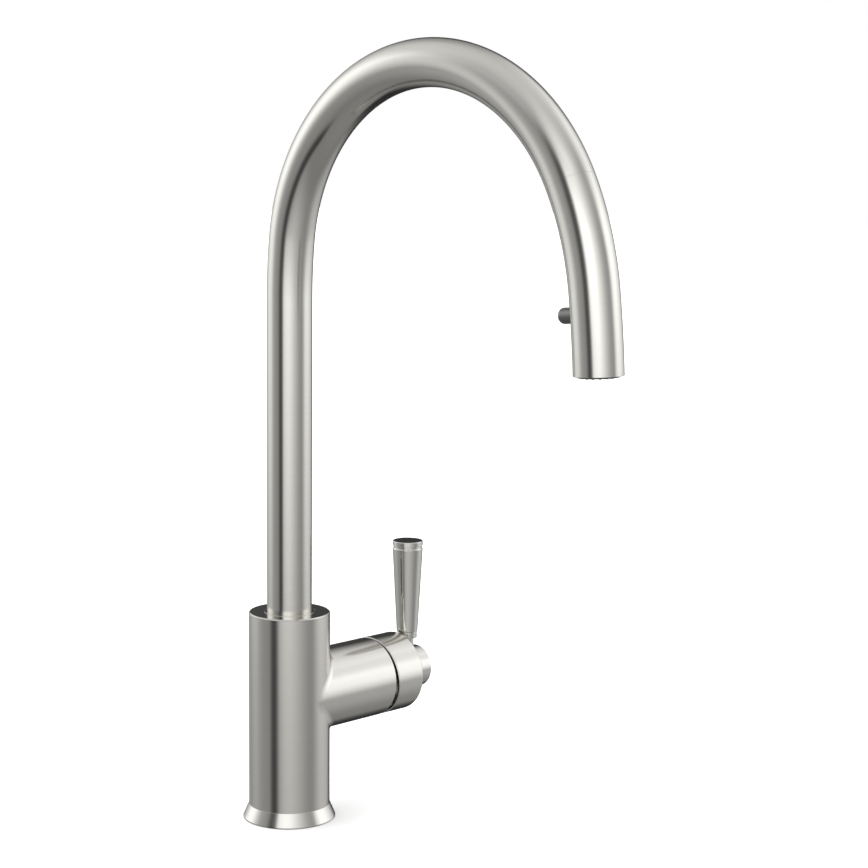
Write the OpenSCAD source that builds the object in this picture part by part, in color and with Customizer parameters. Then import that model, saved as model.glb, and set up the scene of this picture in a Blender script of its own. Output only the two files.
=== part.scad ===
// Pull down kitchen faucet with a side lever.
// Millimetres. The origin is the centre of the flange where it stands on the deck, +Z is up,
// the spout leans out towards -Y and the handle's arm points along +X.

/* [Valve body] */
// Diameter of the column and of the arm that holds the cartridge
body_d = 50.8; // [48:0.2:54]
// Height of the body's top above the deck
body_h = 132; // [128:1:150]
// Height of the arm's axis above the deck
arm_z = 77.8; // [76:0.2:80]
// Distance from the column's axis to the arm's end face
arm_len = 70; // [70:1:80]
// Radius of the fillet where the arm runs into the column
fillet_r = 1.6; // [1.4:0.2:9]
// Chamfer on the outer edges of the turned pieces
edge = 0.7; // [0.3:0.1:1]
// Chamfer on the arm's end and on the hub's end
rim = 1; // [0.4:0.1:1.4]

/* [Flange and deck fixing] */
// Diameter of the flange on the deck
flange_d = 58; // [56:1:70]
// Height of the flange
flange_h = 8.8; // [7:0.2:10]
// Height of the straight lip round the flange's foot
flange_lip = 1.2; // [0.8:0.2:2]
// Thickness of the rubber ring under the flange
gasket_t = 2.5; // [1.5:0.5:3]
// Outside diameter of the shank's thread
shank_d = 32.5; // [31:0.5:33]
// Diameter of the shank's plain neck, which passes through the deck
shank_neck_d = 31; // [29.5:0.5:31]
// Diameter of the shank's bore
shank_bore_d = 28; // [27.5:0.1:28.4]
// Length of the shank below the flange
shank_len = 60; // [54:1:80]
// Length of neck left for the deck
deck_t = 30; // [20:1:34]
// Outside diameter of the washers under the deck
washer_d = 54; // [52:1:60]
// Thickness of the rubber washer
rubber_t = 3; // [2:0.5:4]
// Thickness of the steel washer
washer_t = 2; // [1.5:0.5:3]
// Height of the mounting nut
nut_h = 12; // [10:1:14]
// Diameter of the mounting nut's flange
nut_d = 52; // [50:1:52]
// Diameter of the nut's clamp screws
clamp_screw_d = 4; // [3:0.5:5]

/* [Spout] */
// Outside diameter of the spout tube and of the spray head
tube_d = 28; // [27:0.5:29]
// Wall of the spout tube
tube_wall = 1.5; // [1:0.1:1.6]
// Height where the tube's straight run ends
rise_top = 327.15; // [300:0.05:360]
// Radius of the first, slack bend
rise_r = 330.5; // [250:0.5:400]
// Angle of the first bend, in degrees
rise_a = 6.31; // [4:0.01:8]
// Radius of the crown
crown_r = 119.3; // [110:0.1:130]
// Angle of the crown, in degrees
crown_a = 146.3; // [144:0.1:148]
// Wall of the brass ferrule on the tube's foot
ferrule_wall = 1.9; // [1.7:0.1:2.2]
// Length of the ferrule
ferrule_len = 30; // [28:1:31]
// Height of the plastic ring that the ferrule turns on
thrust_h = 4; // [3:0.5:5]
// Section diameter of the spout's seals
spout_seal_d = 1.3; // [1.1:0.1:1.4]

/* [Spray head] */
// Radius of the spray head's upper bend
fall_r = 173.5; // [160:0.5:200]
// Angle of the spray head's upper bend, in degrees
fall_a = 20.19; // [18:0.01:22]
// Radius of the spray head's lower bend
tip_r = 664.5; // [500:0.5:900]
// Angle of the spray head's lower bend, in degrees
tip_a = 3.84; // [3.7:0.01:5]
// Wall of the spray head's shell
shell_wall = 1.4; // [1.2:0.1:1.5]
// Hairline between the spout and the spray head
seam_gap = 0.2; // [0.1:0.05:0.4]
// Length of the neck that docks in the spout
neck_len = 15; // [12:1:16]
// Diameter of the docking neck
neck_d = 20.4; // [19.6:0.2:20.6]
// Diameter of the hose
hose_d = 9; // [8:0.2:9.4]
// Diameter of the black spray face
face_d = 23.2; // [22.6:0.1:23.8]
// Height by which the spray face stands out of the shell
face_out = 0.8; // [0.6:0.2:1.6]
// Thickness of the spray face
face_t = 7; // [6:0.5:8]
// Diameter of the aerator in the middle of the face
aerator_d = 11; // [10:0.5:12]
// Diameter of one rubber nozzle
nozzle_d = 1.5; // [1:0.1:1.8]
// Diameter of the plastic waterway inside the shell
waterway_d = 16; // [15:0.5:17]
// Bore of the waterway
waterway_bore = 7; // [6:0.5:7]

/* [Spray button] */
// Diameter of the button
button_d = 9; // [7.6:0.2:9.2]
// Height by which the button stands out of the shell
button_out = 11; // [6:0.5:12]
// Radius of the button's rounded end
button_round = 2.8; // [1.5:0.1:3]
// Distance of the button above the outlet
button_up = 33.2; // [28:0.2:38]
// Travel of the button
button_travel = 2; // [1.5:0.1:2]
// Diameter of the plunger behind the button
plunger_d = 3.2; // [2.8:0.1:3.6]

/* [Cartridge] */
// Diameter of the ceramic cartridge
cartridge_d = 35; // [34:0.5:36]
// Depth of the cartridge's seat below the arm's end face
seat_depth = 38; // [37:0.5:39]
// Thickness of the cartridge's base
base_t = 4; // [3.5:0.5:5]
// Thickness of the fixed ceramic disc
fixed_t = 4; // [3:0.5:5]
// Thickness of the moving ceramic disc
moving_t = 3; // [2.5:0.5:4]
// Thickness of the plate that drives the moving disc
drive_t = 6; // [5.5:0.5:6.5]
// Length of the cartridge's shell
shell_len = 24; // [23:1:26]
// Thickness of the rotor's disc
rotor_t = 8.4; // [8:0.2:8.6]
// Distance from the spindle's ball to its pivot pin
ball_arm = 8; // [7.6:0.2:8.4]
// Diameter of the pivot pin
pin_d = 3; // [2.4:0.2:3.4]
// Width of the spindle's square
spindle_w = 7; // [6:0.5:7]
// Length of the cartridge nut's thread
nut_thread_len = 6; // [5:0.5:7]
// Bore of the threaded hose sockets, M8 by 1
socket_d = 7; // [6:0.5:7]
// Depth of the hose sockets
socket_len = 10; // [8:1:14]
// Distance of the hose sockets from the column's axis
socket_off = 10; // [9.8:0.1:10.2]

/* [Handle] */
// Gap between the arm and the hub at the top
gap_top = 0.4; // [0.3:0.1:0.8]
// Gap between the arm and the hub at the bottom, which lets the handle tilt
gap_bottom = 4; // [3.6:0.2:5]
// Length of the hub, measured from the arm's end face
hub_len = 24.1; // [23:0.1:30]
// Wall of the hub
hub_wall = 1.8; // [1.4:0.1:1.9]
// Thickness of the hub's end wall
hub_end_t = 4; // [3:0.5:5]
// Diameter of the knob on the hub's end
knob_d = 27.4; // [24:0.2:32]
// Length of the knob
knob_len = 19.4; // [18:0.2:24]
// Distance from the hub's end to the lever's axis
lever_off = 9.5; // [9:0.1:11]
// Diameter of the lever's neck
lever_neck_d = 8.8; // [7:0.2:10]
// Height of the lever's neck above the knob
lever_neck_h = 6.8; // [6:0.2:12]
// Diameter of the collar under the grip
collar_d = 13; // [12:0.2:14]
// Height of the collar
collar_h = 4; // [2.4:0.2:5]
// Diameter of the grip at its foot
grip_foot_d = 13.8; // [12:0.2:16]
// Diameter of the grip at its top
grip_top_d = 19.8; // [16:0.2:22]
// Length of the grip
grip_len = 56.4; // [50:0.2:80]
// Height of the groove under the cap
groove_h = 1.5; // [1:0.1:2]
// Depth of the groove under the cap
groove_depth = 0.6; // [0.3:0.1:1]
// Height of the cap above the groove
cap_h = 3; // [2:0.1:4]
// Diameter of the set screw in the hub
set_screw_d = 5; // [4:0.5:5]

/* [Hidden] */
$fn = 72;

// Clearances
running = 0.05;      // between a turning or sliding piece and its bore, on the radius
seated = 0.02;       // between two pieces that are fastened together, on the radius
slip = 0.1;          // between a bent tube and what is pushed into it, on the radius
open_gap = 0.3;      // between pieces that must never touch
past = 1;            // how far a cut runs past the solid that it opens

// Column
body_r = body_d / 2;
tube_r = tube_d / 2;
tube_bore_r = tube_r - tube_wall;
ferrule_r = tube_r + ferrule_wall + seated;
spout_bore_r = ferrule_r + running;
ring_h = 5;                                  // height of the glide ring inside the body
ring_proud = 0.2;                            // height of the glide ring above the body
ferrule_z = body_h - ring_h - ferrule_len;   // foot of the ferrule and of the tube
bore_floor_z = ferrule_z - thrust_h;
clip_t = 1.4;
clip_z = ferrule_z + 2;
clip_r = spout_bore_r + 0.8;
seal_z = [ferrule_z + 8, ferrule_z + 15];
seal_r = spout_seal_d / 2;

// Foot
spigot_r = body_r - 3.5;
spigot_z = 2;
gasket_in_r = spigot_r + 1.6;
gasket_out_r = flange_d / 2 - 1.8;
shank_r = shank_d / 2;
shank_bore_r = shank_bore_d / 2;
shank_seat_z = 18;                           // how far the shank is screwed into the body
socket_r = socket_d / 2;
hose_r = hose_d / 2;
hose_way_r = hose_r + 0.6;
hose_foot_z = 4 - shank_len;
screw_circle_r = (nut_d / 2 + shank_r) / 2 + 1.2;

// Water passages between the hose sockets and the cartridge's seat
inlet_bore_r = 2.4;
outlet_bore_r = 2.8;
inlet_drop = 5;
outlet_lift = 8;
inlet_y = socket_off * sin(120);
inlet_x = socket_off * cos(120);
ports = [[inlet_y, -inlet_drop, inlet_bore_r], [-inlet_y, -inlet_drop, inlet_bore_r],
    [0, outlet_lift, outlet_bore_r]];

// Cartridge, stacked along the arm from its seat
seat_x = arm_len - seat_depth;
cartridge_r = cartridge_d / 2;
cartridge_bore_r = cartridge_r + open_gap;
disc_r = cartridge_r - 3.2;
fixed_x = seat_x + base_t;
moving_x = fixed_x + fixed_t;
drive_x = moving_x + moving_t;
rotor_x = drive_x + drive_t + open_gap;
rotor_neck_x = rotor_x + rotor_t;
shell_end_x = fixed_x + shell_len;
shell_lid_t = shell_end_x - rotor_neck_x - open_gap;
nut_bore_r = cartridge_r + 2;
rotor_r = cartridge_r - 3 - open_gap;
rotor_neck_r = cartridge_r - 6.8;
ball_r = 2.8;
ball_x = drive_x + 1.5 + 0.2 + ball_r;
pivot_x = ball_x + ball_arm;
shell_bore_r = cartridge_r - 3;
moving_r = shell_bore_r - 2.5;

// Handle
hub_r = body_r;
hub_bore_r = hub_r - hub_wall;
hub_x = arm_len + hub_len;
hub_slant = atan((gap_bottom - gap_top) / body_d);
boss_r = 9;
boss_x = arm_len + 7;
knob_x = hub_x + knob_len;
lever_x = hub_x + lever_off;
knob_r = knob_d / 2;
knob_top_z = arm_z + knob_r;
stud_r = 3;
collar_z = knob_top_z + lever_neck_h;
grip_z = collar_z + collar_h;
groove_z = grip_z + grip_len;
cap_z = groove_z + groove_h;
plug_r = 5;
plug_len = 6;

// Centre line of the spout and spray head: four arcs in the YZ plane, each starting where the
// last one ends. Angles are measured at the arcs' centres, from +Y towards +Z.
arc_r = [rise_r, crown_r, fall_r, tip_r];
arc_a = [0, rise_a, rise_a + crown_a, rise_a + crown_a + fall_a, rise_a + crown_a + fall_a + tip_a];
seam_a = arc_a[2];
function arc_centre(i) = i == 0 ? [-arc_r[0], rise_top]
    : arc_centre(i - 1) + (arc_r[i - 1] - arc_r[i]) * [cos(arc_a[i]), sin(arc_a[i])];

// Spray head, measured along its centre line from the seam
function turn(length, radius) = round(length / radius * 180000 / PI) / 1000;
fall_len = fall_r * fall_a * PI / 180;
head_len = fall_len + tip_r * tip_a * PI / 180;
function station_arc(s) = s < fall_len ? 2 : 3;
function station_a(s) = s < fall_len ? seam_a + turn(s, fall_r) : arc_a[3] + turn(s - fall_len, tip_r);
button_s = head_len - button_up;
lip_len = face_t - face_out;
lip_r = face_d / 2 + running;
shell_bore = tube_r - shell_wall;
waterway_r = waterway_d / 2;
flange_t = 2.5;
gasket_thin = 0.5;
waterway_end_s = head_len - lip_len - gasket_thin - flange_t / 2;
neck_r = neck_d / 2;
neck_bore_r = 6.8;
collar_len = 6;
rim_cut = 0.3;
valve_r = 4.5;
valve_len = 7;
washer_thin = 1.8;
nut_len = 6;
nozzle_r = nozzle_d / 2;
nozzle_out = 0.3;
nozzle_rings = [[16, 9.7], [10, 7.3]];
aerator_r = aerator_d / 2;
aerator_out = 0.5;

// Button, measured outwards from the spray head's centre line
button_r = button_d / 2;
rim_r = button_r + 0.8;
rim_t = 1.2;
rim_top = sqrt(pow(shell_bore, 2) - pow(rim_r, 2)) - 0.25;
button_foot = rim_top - rim_t;
button_top = tube_r + button_out;
plunger_r = plunger_d / 2;
chamber_r = 3.6;
chamber = [-5, 3.4];
pocket_d = 6;
spring_r = 2.7;
spring_wire_r = 0.25;
spring_turns = 4;

// ---- Placing -------------------------------------------------------------------------------

// Children stand on arc i at angle a, with +Z along the centre line
module at_arc(i, a) {
    c = arc_centre(i) + arc_r[i] * [cos(a), sin(a)];
    translate([0, c[0], c[1]]) rotate([a, 0, 0]) children();
}

module at_seam() {
    at_arc(2, seam_a) children();
}

module at_station(s) {
    at_arc(station_arc(s), station_a(s)) children();
}

// Children's +Z points out along the button, back towards the column
module at_button() {
    at_station(button_s) rotate([90, 0, 0]) children();
}

// Children's +Z points out along the arm
module on_arm(x) {
    translate([x, 0, arm_z]) rotate([0, 90, 0]) children();
}

module on_lever(z) {
    translate([lever_x, 0, z]) children();
}

// ---- Shapes that repeat --------------------------------------------------------------------

module tube(outer_r, inner_r, h) {
    difference() {
        cylinder(r = outer_r, h = h);
        translate([0, 0, -past]) cylinder(r = inner_r, h = h + 2 * past);
    }
}

// A rod with a chamfered top edge
module turned(r, h, cut) {
    cylinder(r = r, h = h - cut);
    translate([0, 0, h - cut]) cylinder(r1 = r, r2 = r - cut, h = cut);
}

module seal(ring_r, section_r) {
    rotate_extrude() translate([ring_r, 0]) circle(r = section_r);
}

// A rod along arc i between two angles. The place is given in a coarse and a fine step, so that
// rods of neighbouring arcs meet exactly.
module arc_rod(i, a, b, rod_r) {
    c = arc_centre(i);
    coarse = [round(c[0] * 100) / 100, round(c[1] * 100) / 100];
    translate([0, coarse[0], coarse[1]]) translate([0, c[0] - coarse[0], c[1] - coarse[1]])
        rotate([90, 0, 90]) rotate_extrude(start = a, angle = b - a)
            translate([arc_r[i], 0]) circle(r = rod_r);
}

// The spout's centre line from height z up and over to angle a of the crown, as a rod
module spout_rod(rod_r, z, a) {
    translate([0, 0, z]) cylinder(r = rod_r, h = rise_top - z);
    arc_rod(0, arc_a[0], arc_a[1], rod_r);
    arc_rod(1, arc_a[1], a, rod_r);
}

// The spray head's centre line from station s0 to station s1, as a rod
module head_rod(rod_r, s0, s1) {
    arc_rod(2, seam_a + turn(s0, fall_r), arc_a[3], rod_r);
    arc_rod(3, arc_a[3], arc_a[3] + turn(s1 - fall_len, tip_r), rod_r);
}

// A coil spring along +Z with flat-wound ends left out
module coil(mean_r, wire_r, length, turns) {
    steps = 16;
    sides = 6;
    rise = length - 2 * wire_r;
    rings = [for (i = [0 : turns * steps]) let (a = 360 * i / steps)
        [for (j = [0 : sides - 1]) let (b = 360 * j / sides, r = mean_r + wire_r * cos(b))
            [r * cos(a), r * sin(a), wire_r + rise * i / (turns * steps) + wire_r * sin(b)]]];
    count = len(rings);
    polyhedron(
        points = [for (ring = rings) for (p = ring) p],
        faces = concat(
            [for (i = [0 : count - 2]) for (j = [0 : sides - 1]) let (k = (j + 1) % sides)
                [i * sides + j, (i + 1) * sides + j, (i + 1) * sides + k, i * sides + k]],
            [[for (j = [0 : sides - 1]) j]],
            [[for (j = [0 : sides - 1]) (count - 1) * sides + sides - 1 - j]]),
        convexity = 6);
}

// ---- Fillet between the column and the arm ---------------------------------------------------

// A ball of the fillet's radius rolls in the crease between the two equal cylinders. At angle t
// round the crease its centre keeps to both cylinders, and the fillet is the arc that it sweeps.
function crease_out(t, side) = [cos(t), sin(t), 0];
function crease_up(t, side) = [0, sin(t), side * cos(t)];
function ball_centre(t, side) = (body_r + fillet_r) * [cos(t), sin(t), side * cos(t)];
function fillet_point(t, side, k) =
    let (open = acos(pow(sin(t), 2)), a = crease_out(t, side), b = crease_up(t, side))
    ball_centre(t, side) - fillet_r * (sin((1 - k) * open) * a + sin(k * open) * b) / sin(open);
function fillet_section(t, side, steps) =
    let (sunk = 0.06, deep = 4)
    concat([fillet_point(t, side, 0) - sunk * crease_out(t, side)],
        [for (i = [1 : steps - 1]) fillet_point(t, side, i / steps)],
        [fillet_point(t, side, 1) - sunk * crease_up(t, side)],
        [(body_r - deep) * [cos(t), sin(t), side * cos(t)]]);

module crease_fillet(side) {
    steps = 4;
    slices = 30;
    reach = 84;
    rings = [for (i = [0 : slices]) fillet_section(reach * (2 * i / slices - 1), side, steps)];
    sides = steps + 2;
    wall = [for (i = [0 : slices - 1]) for (j = [0 : sides - 1]) let (k = (j + 1) % sides)
        [i * sides + j, i * sides + k, (i + 1) * sides + k, (i + 1) * sides + j]];
    caps = [[for (j = [0 : sides - 1]) sides - 1 - j], [for (j = [0 : sides - 1]) slices * sides + j]];
    faces = concat(wall, caps);
    translate([0, 0, arm_z]) polyhedron(
        points = [for (ring = rings) for (p = ring) p],
        faces = side > 0 ? faces : [for (f = faces) [for (i = [len(f) - 1 : -1 : 0]) f[i]]],
        convexity = 6);
}

// ---- Foot and deck fixing --------------------------------------------------------------------

module base_flange() {
    color("silver") rotate_extrude() polygon([
        [spigot_r + seated, 0], [gasket_in_r, 0], [gasket_in_r, gasket_t], [gasket_out_r, gasket_t],
        [gasket_out_r, 0], [flange_d / 2 - 0.3, 0], [flange_d / 2, 0.3], [flange_d / 2, flange_lip - 0.3],
        [flange_d / 2 - 0.3, flange_lip], [body_r, flange_h], [spigot_r + seated, flange_h]]);
}

module deck_gasket() {
    color("dimgray") tube(gasket_out_r - seated, gasket_in_r + seated, gasket_t);
}

module mounting_shank() {
    color("goldenrod") difference() {
        union() {
            translate([0, 0, -shank_len]) cylinder(r = shank_r, h = shank_len - deck_t);
            translate([0, 0, -deck_t]) cylinder(r = shank_neck_d / 2, h = deck_t);
            cylinder(r = shank_r, h = shank_seat_z);
        }
        translate([0, 0, -shank_len - past]) cylinder(r = shank_bore_r, h = shank_len + shank_seat_z + 2 * past);
    }
}

module rubber_washer() {
    color("dimgray") translate([0, 0, -deck_t - rubber_t])
        tube(washer_d / 2, shank_r + running, rubber_t);
}

module steel_washer() {
    color("lightgray") translate([0, 0, -deck_t - rubber_t - washer_t])
        tube(washer_d / 2, shank_r + running, washer_t);
}

// Places its children at each clamp screw, on the nut's upper face
module each_clamp_screw() {
    for (a = [90, 210, 330])
        rotate([0, 0, a]) translate([screw_circle_r, 0, -deck_t - rubber_t - washer_t]) children();
}

module mounting_nut() {
    top = -deck_t - rubber_t - washer_t;
    color("goldenrod") difference() {
        union() {
            translate([0, 0, top - 5]) cylinder(r = nut_d / 2, h = 5);
            translate([0, 0, top - nut_h]) cylinder(r = nut_d / 2 - 4.5, h = nut_h - 5, $fn = 6);
        }
        translate([0, 0, top - nut_h - past]) cylinder(r = shank_r + seated, h = nut_h + 2 * past);
        each_clamp_screw() translate([0, 0, -nut_h - past])
            cylinder(r = clamp_screw_d / 2 + seated, h = nut_h + 2 * past);
    }
}

module clamp_screws() {
    color("lightgray") each_clamp_screw() difference() {
        union() {
            translate([0, 0, -nut_h - 4]) cylinder(r = clamp_screw_d / 2, h = nut_h + 4);
            translate([0, 0, -nut_h - 7]) cylinder(r = clamp_screw_d / 2 + 0.9, h = 3);
        }
        translate([0, 0, -nut_h - 7 - past]) cylinder(r = 1.4, h = past + 2, $fn = 6);
    }
}

// ---- Valve body ------------------------------------------------------------------------------

module water_passages() {
    for (side = [-1, 1]) {
        translate([inlet_x, side * inlet_y, shank_seat_z]) {
            translate([0, 0, -past]) cylinder(r = socket_r, h = socket_len + past);
            cylinder(r = inlet_bore_r, h = arm_z - inlet_drop - shank_seat_z);
        }
        translate([inlet_x, side * inlet_y, arm_z - inlet_drop]) rotate([0, 90, 0])
            cylinder(r = inlet_bore_r, h = seat_x - inlet_x + past);
    }
    translate([socket_off, 0, shank_seat_z]) {
        translate([0, 0, -past]) cylinder(r = socket_r, h = socket_len + past);
        cylinder(r = outlet_bore_r, h = arm_z + outlet_lift - shank_seat_z);
    }
    translate([socket_off, 0, arm_z + outlet_lift]) rotate([0, 90, 0])
        cylinder(r = outlet_bore_r, h = seat_x - socket_off + past);
}

module valve_body() {
    color("lightslategray") difference() {
        union() {
            translate([0, 0, flange_h]) turned(body_r, body_h - flange_h, edge);
            translate([0, 0, spigot_z]) cylinder(r = spigot_r, h = flange_h - spigot_z + past);
            on_arm(0) turned(body_r, arm_len, rim);
            crease_fillet(1);
            crease_fillet(-1);
        }
        translate([0, 0, bore_floor_z]) cylinder(r = spout_bore_r, h = body_h);
        translate([0, 0, clip_z - open_gap]) cylinder(r = clip_r + open_gap, h = clip_t + 2 * open_gap);
        translate([0, 0, shank_seat_z - past]) cylinder(r = hose_way_r, h = body_h);
        translate([0, 0, spigot_z - past]) cylinder(r = shank_r + seated, h = shank_seat_z - spigot_z + past);
        on_arm(seat_x) cylinder(r = cartridge_bore_r, h = arm_len);
        on_arm(shell_end_x) cylinder(r = nut_bore_r, h = arm_len);
        water_passages();
    }
}

module thrust_ring() {
    color("white") translate([0, 0, bore_floor_z])
        tube(spout_bore_r - seated, tube_bore_r, thrust_h);
}

// ---- Cartridge -------------------------------------------------------------------------------

// Children stand at each port, with +Z along the arm; grow widens the port
module each_port() {
    for (p = ports) translate([-p[1], p[0], 0]) children();
}

module port_bores(grow, depth) {
    for (p = ports) translate([-p[1], p[0], -past]) cylinder(r = p[2] + grow, h = depth + 2 * past);
}

module cartridge_base() {
    groove = [0.3, 1.9];
    color("ivory") on_arm(seat_x) difference() {
        cylinder(r = cartridge_r, h = base_t);
        port_bores(0, base_t);
        for (p = ports) translate([-p[1], p[0], -past])
            tube(p[2] + groove[1], p[2] + groove[0], past + 1.6);
    }
}

module cartridge_base_seals() {
    color("black") on_arm(seat_x) for (p = ports)
        translate([-p[1], p[0], 0.8]) seal(p[2] + 1.1, 0.75);
}

module cartridge_shell() {
    color("whitesmoke") on_arm(fixed_x) difference() {
        cylinder(r = cartridge_r, h = shell_len);
        translate([0, 0, -past]) cylinder(r = shell_bore_r, h = shell_len - shell_lid_t + past);
        cylinder(r = rotor_neck_r + open_gap, h = shell_len + past);
    }
}

module fixed_disc() {
    color("linen") on_arm(fixed_x) difference() {
        cylinder(r = disc_r, h = fixed_t);
        port_bores(0, fixed_t);
    }
}

module cartridge_nut() {
    color("goldenrod") on_arm(shell_end_x) difference() {
        union() {
            cylinder(r = nut_bore_r - seated, h = nut_thread_len);
            cylinder(r = nut_bore_r - 3, h = arm_len - shell_end_x + 1, $fn = 6);
        }
        translate([0, 0, -past]) cylinder(r = rotor_neck_r + 1, h = arm_len);
    }
}

// The pale ring that shows in the wedge between the arm and the hub
module gap_ring() {
    x = shell_end_x + nut_thread_len;
    color("gainsboro") on_arm(x) tube(nut_bore_r - seated, nut_bore_r - 1.6, arm_len - x + 0.8);
}

module cartridge_rotor() {
    neck_len_out = arm_len - rotor_neck_x;
    color("white") on_arm(rotor_x) difference() {
        union() {
            cylinder(r = rotor_r, h = rotor_t);
            cylinder(r = rotor_neck_r, h = rotor_t + neck_len_out);
        }
        translate([-7, -spindle_w / 2 - 0.2, -past])
            cube([14, spindle_w + 0.4, rotor_t + neck_len_out + 2 * past]);
        translate([0, 0, pivot_x - rotor_x]) rotate([90, 0, 0])
            cylinder(r = pin_d / 2 + seated, h = 2 * cartridge_d, center = true);
    }
}

module pivot_pin() {
    color("lightgray") on_arm(pivot_x) rotate([90, 0, 0])
        cylinder(r = pin_d / 2, h = 2 * rotor_r - 2, center = true);
}

module moving_disc() {
    color("linen") on_arm(moving_x) difference() {
        cylinder(r = moving_r, h = moving_t);
        translate([2, 0, -past]) cylinder(r = 6.5, h = past + moving_t / 2);
    }
}

module drive_plate() {
    color("white") on_arm(drive_x) difference() {
        cylinder(r = moving_r, h = drive_t);
        translate([0, 0, 1.5]) cylinder(r = ball_r + 0.2, h = drive_t);
    }
}

// ---- Handle ----------------------------------------------------------------------------------

module handle_spindle() {
    end_x = hub_x - hub_end_t;
    color("lightgray") difference() {
        union() {
            on_arm(ball_x) sphere(r = ball_r);
            on_arm(ball_x) cylinder(r = 2, h = ball_arm / 2);
            on_arm(ball_x + ball_arm / 2 - 0.6) translate([-spindle_w / 2, -spindle_w / 2, 0])
                cube([spindle_w, spindle_w, end_x - ball_x - ball_arm / 2 + 0.6]);
        }
        on_arm(pivot_x) rotate([90, 0, 0]) cylinder(r = pin_d / 2 + running, h = cartridge_d, center = true);
    }
}

module handle_hub() {
    hollow_x = hub_x - hub_end_t;
    color("lightslategray") difference() {
        union() {
            difference() {
                on_arm(arm_len) turned(hub_r, hub_len, rim);
                on_arm(arm_len - past) cylinder(r = hub_bore_r, h = hollow_x - arm_len + past);
                translate([arm_len + (gap_top + gap_bottom) / 2, 0, arm_z]) rotate([0, 90 - hub_slant, 0])
                    translate([0, 0, -body_d]) cylinder(r = body_d, h = body_d);
            }
            on_arm(boss_x) cylinder(r = boss_r, h = hollow_x - boss_x + past);
        }
        on_arm(boss_x - past) translate([-spindle_w / 2 - seated, -spindle_w / 2 - seated, 0])
            cube([spindle_w + 2 * seated, spindle_w + 2 * seated, hollow_x - boss_x + past]);
        translate([boss_x + 6, 0, arm_z - body_d]) cylinder(r = set_screw_d / 2 + seated, h = body_d);
        on_arm(hub_x - 2.5) cylinder(r = 6, h = 2.5 + past);
    }
}

module hub_set_screw() {
    color("dimgray") translate([boss_x + 6, 0, arm_z - spindle_w / 2 - 7]) difference() {
        cylinder(r = set_screw_d / 2, h = 7);
        translate([0, 0, -past]) cylinder(r = 1.5, h = past + 2.5, $fn = 6);
    }
}

module end_knob() {
    color("silver") difference() {
        union() {
            on_arm(hub_x) turned(knob_r, knob_len, edge);
            on_arm(hub_x - 2.5 + seated) cylinder(r = 6 - seated, h = 3);
        }
        on_lever(knob_top_z - 3.5) cylinder(r = lever_neck_d / 2 + seated, h = knob_d);
        on_lever(knob_top_z - 11) cylinder(r = stud_r + seated, h = knob_d);
    }
}

module lever_stud() {
    color("silver") {
        on_lever(knob_top_z - 11) cylinder(r = stud_r, h = 12);
        on_lever(knob_top_z - 3.5) cylinder(r = lever_neck_d / 2, h = lever_neck_h + 3.5);
        on_lever(collar_z) cylinder(r = stud_r, h = collar_h + 10);
    }
}

module lever_collar() {
    color("silver") on_lever(collar_z) difference() {
        tube(collar_d / 2, stud_r + seated, collar_h);
        translate([0, 0, collar_h / 2 - 0.3]) tube(collar_d, collar_d / 2 - 0.4, 0.6);
    }
}

module lever_grip() {
    shoulder = 0.8;
    foot = 0.4;
    color("lightslategray") on_lever(grip_z) difference() {
        union() {
            cylinder(r1 = grip_foot_d / 2 - foot, r2 = grip_foot_d / 2, h = foot);
            translate([0, 0, foot])
                cylinder(r1 = grip_foot_d / 2, r2 = grip_top_d / 2, h = grip_len - foot - shoulder);
            translate([0, 0, grip_len - shoulder])
                cylinder(r1 = grip_top_d / 2, r2 = grip_top_d / 2 - groove_depth, h = shoulder);
        }
        translate([0, 0, -past]) cylinder(r = stud_r + seated, h = 10 + 0.2 + past);
        translate([0, 0, grip_len - plug_len - 0.2]) cylinder(r = plug_r + seated, h = plug_len + past);
    }
}

module lever_cap() {
    color("silver") on_lever(groove_z) {
        translate([0, 0, -plug_len]) cylinder(r = plug_r, h = plug_len + past);
        cylinder(r = grip_top_d / 2 - groove_depth, h = groove_h);
        translate([0, 0, groove_h]) turned(grip_top_d / 2, cap_h, 0.4);
    }
}

// ---- Spout -----------------------------------------------------------------------------------

module spout_tube() {
    color("lightslategray") difference() {
        spout_rod(tube_r, ferrule_z, seam_a);
        spout_rod(tube_bore_r, ferrule_z - past, seam_a + 1);
    }
}

module spout_ferrule() {
    color("goldenrod") translate([0, 0, ferrule_z]) difference() {
        tube(ferrule_r, tube_r + seated, ferrule_len);
        for (z = seal_z) translate([0, 0, z - ferrule_z - seal_r - running])
            tube(ferrule_r + past, ferrule_r - spout_seal_d - running, spout_seal_d + 2 * running);
        translate([0, 0, clip_z - ferrule_z]) tube(ferrule_r + past, tube_r + 1, clip_t);
    }
}

module spout_seals() {
    color("black") for (z = seal_z) translate([0, 0, z]) seal(ferrule_r - seal_r, seal_r);
}

module spout_clip() {
    color("lightgray") translate([0, 0, clip_z]) difference() {
        tube(clip_r, tube_r + 1 + seated, clip_t);
        translate([-3, 0, -past]) cube([6, body_d, clip_t + 2 * past]);
    }
}

module spout_glide_ring() {
    color("lightslategray") translate([0, 0, body_h - ring_h])
        tube(ferrule_r, tube_r + seated, ring_h + ring_proud);
}

module dock_guide() {
    reach = turn(neck_len + 3, crown_r);
    color("dimgray") difference() {
        arc_rod(1, seam_a - reach, seam_a, tube_bore_r - slip);
        at_seam() translate([0, 0, -neck_len - 0.5]) cylinder(r = neck_r + slip, h = neck_len + past);
        at_seam() translate([0, 0, -neck_len - 6]) cylinder(r = hose_r + 1.6, h = neck_len);
    }
}

module spray_hose() {
    color("dimgray") spout_rod(hose_r, hose_foot_z, seam_a - turn(open_gap, crown_r));
}

// ---- Spray head ------------------------------------------------------------------------------

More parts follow.
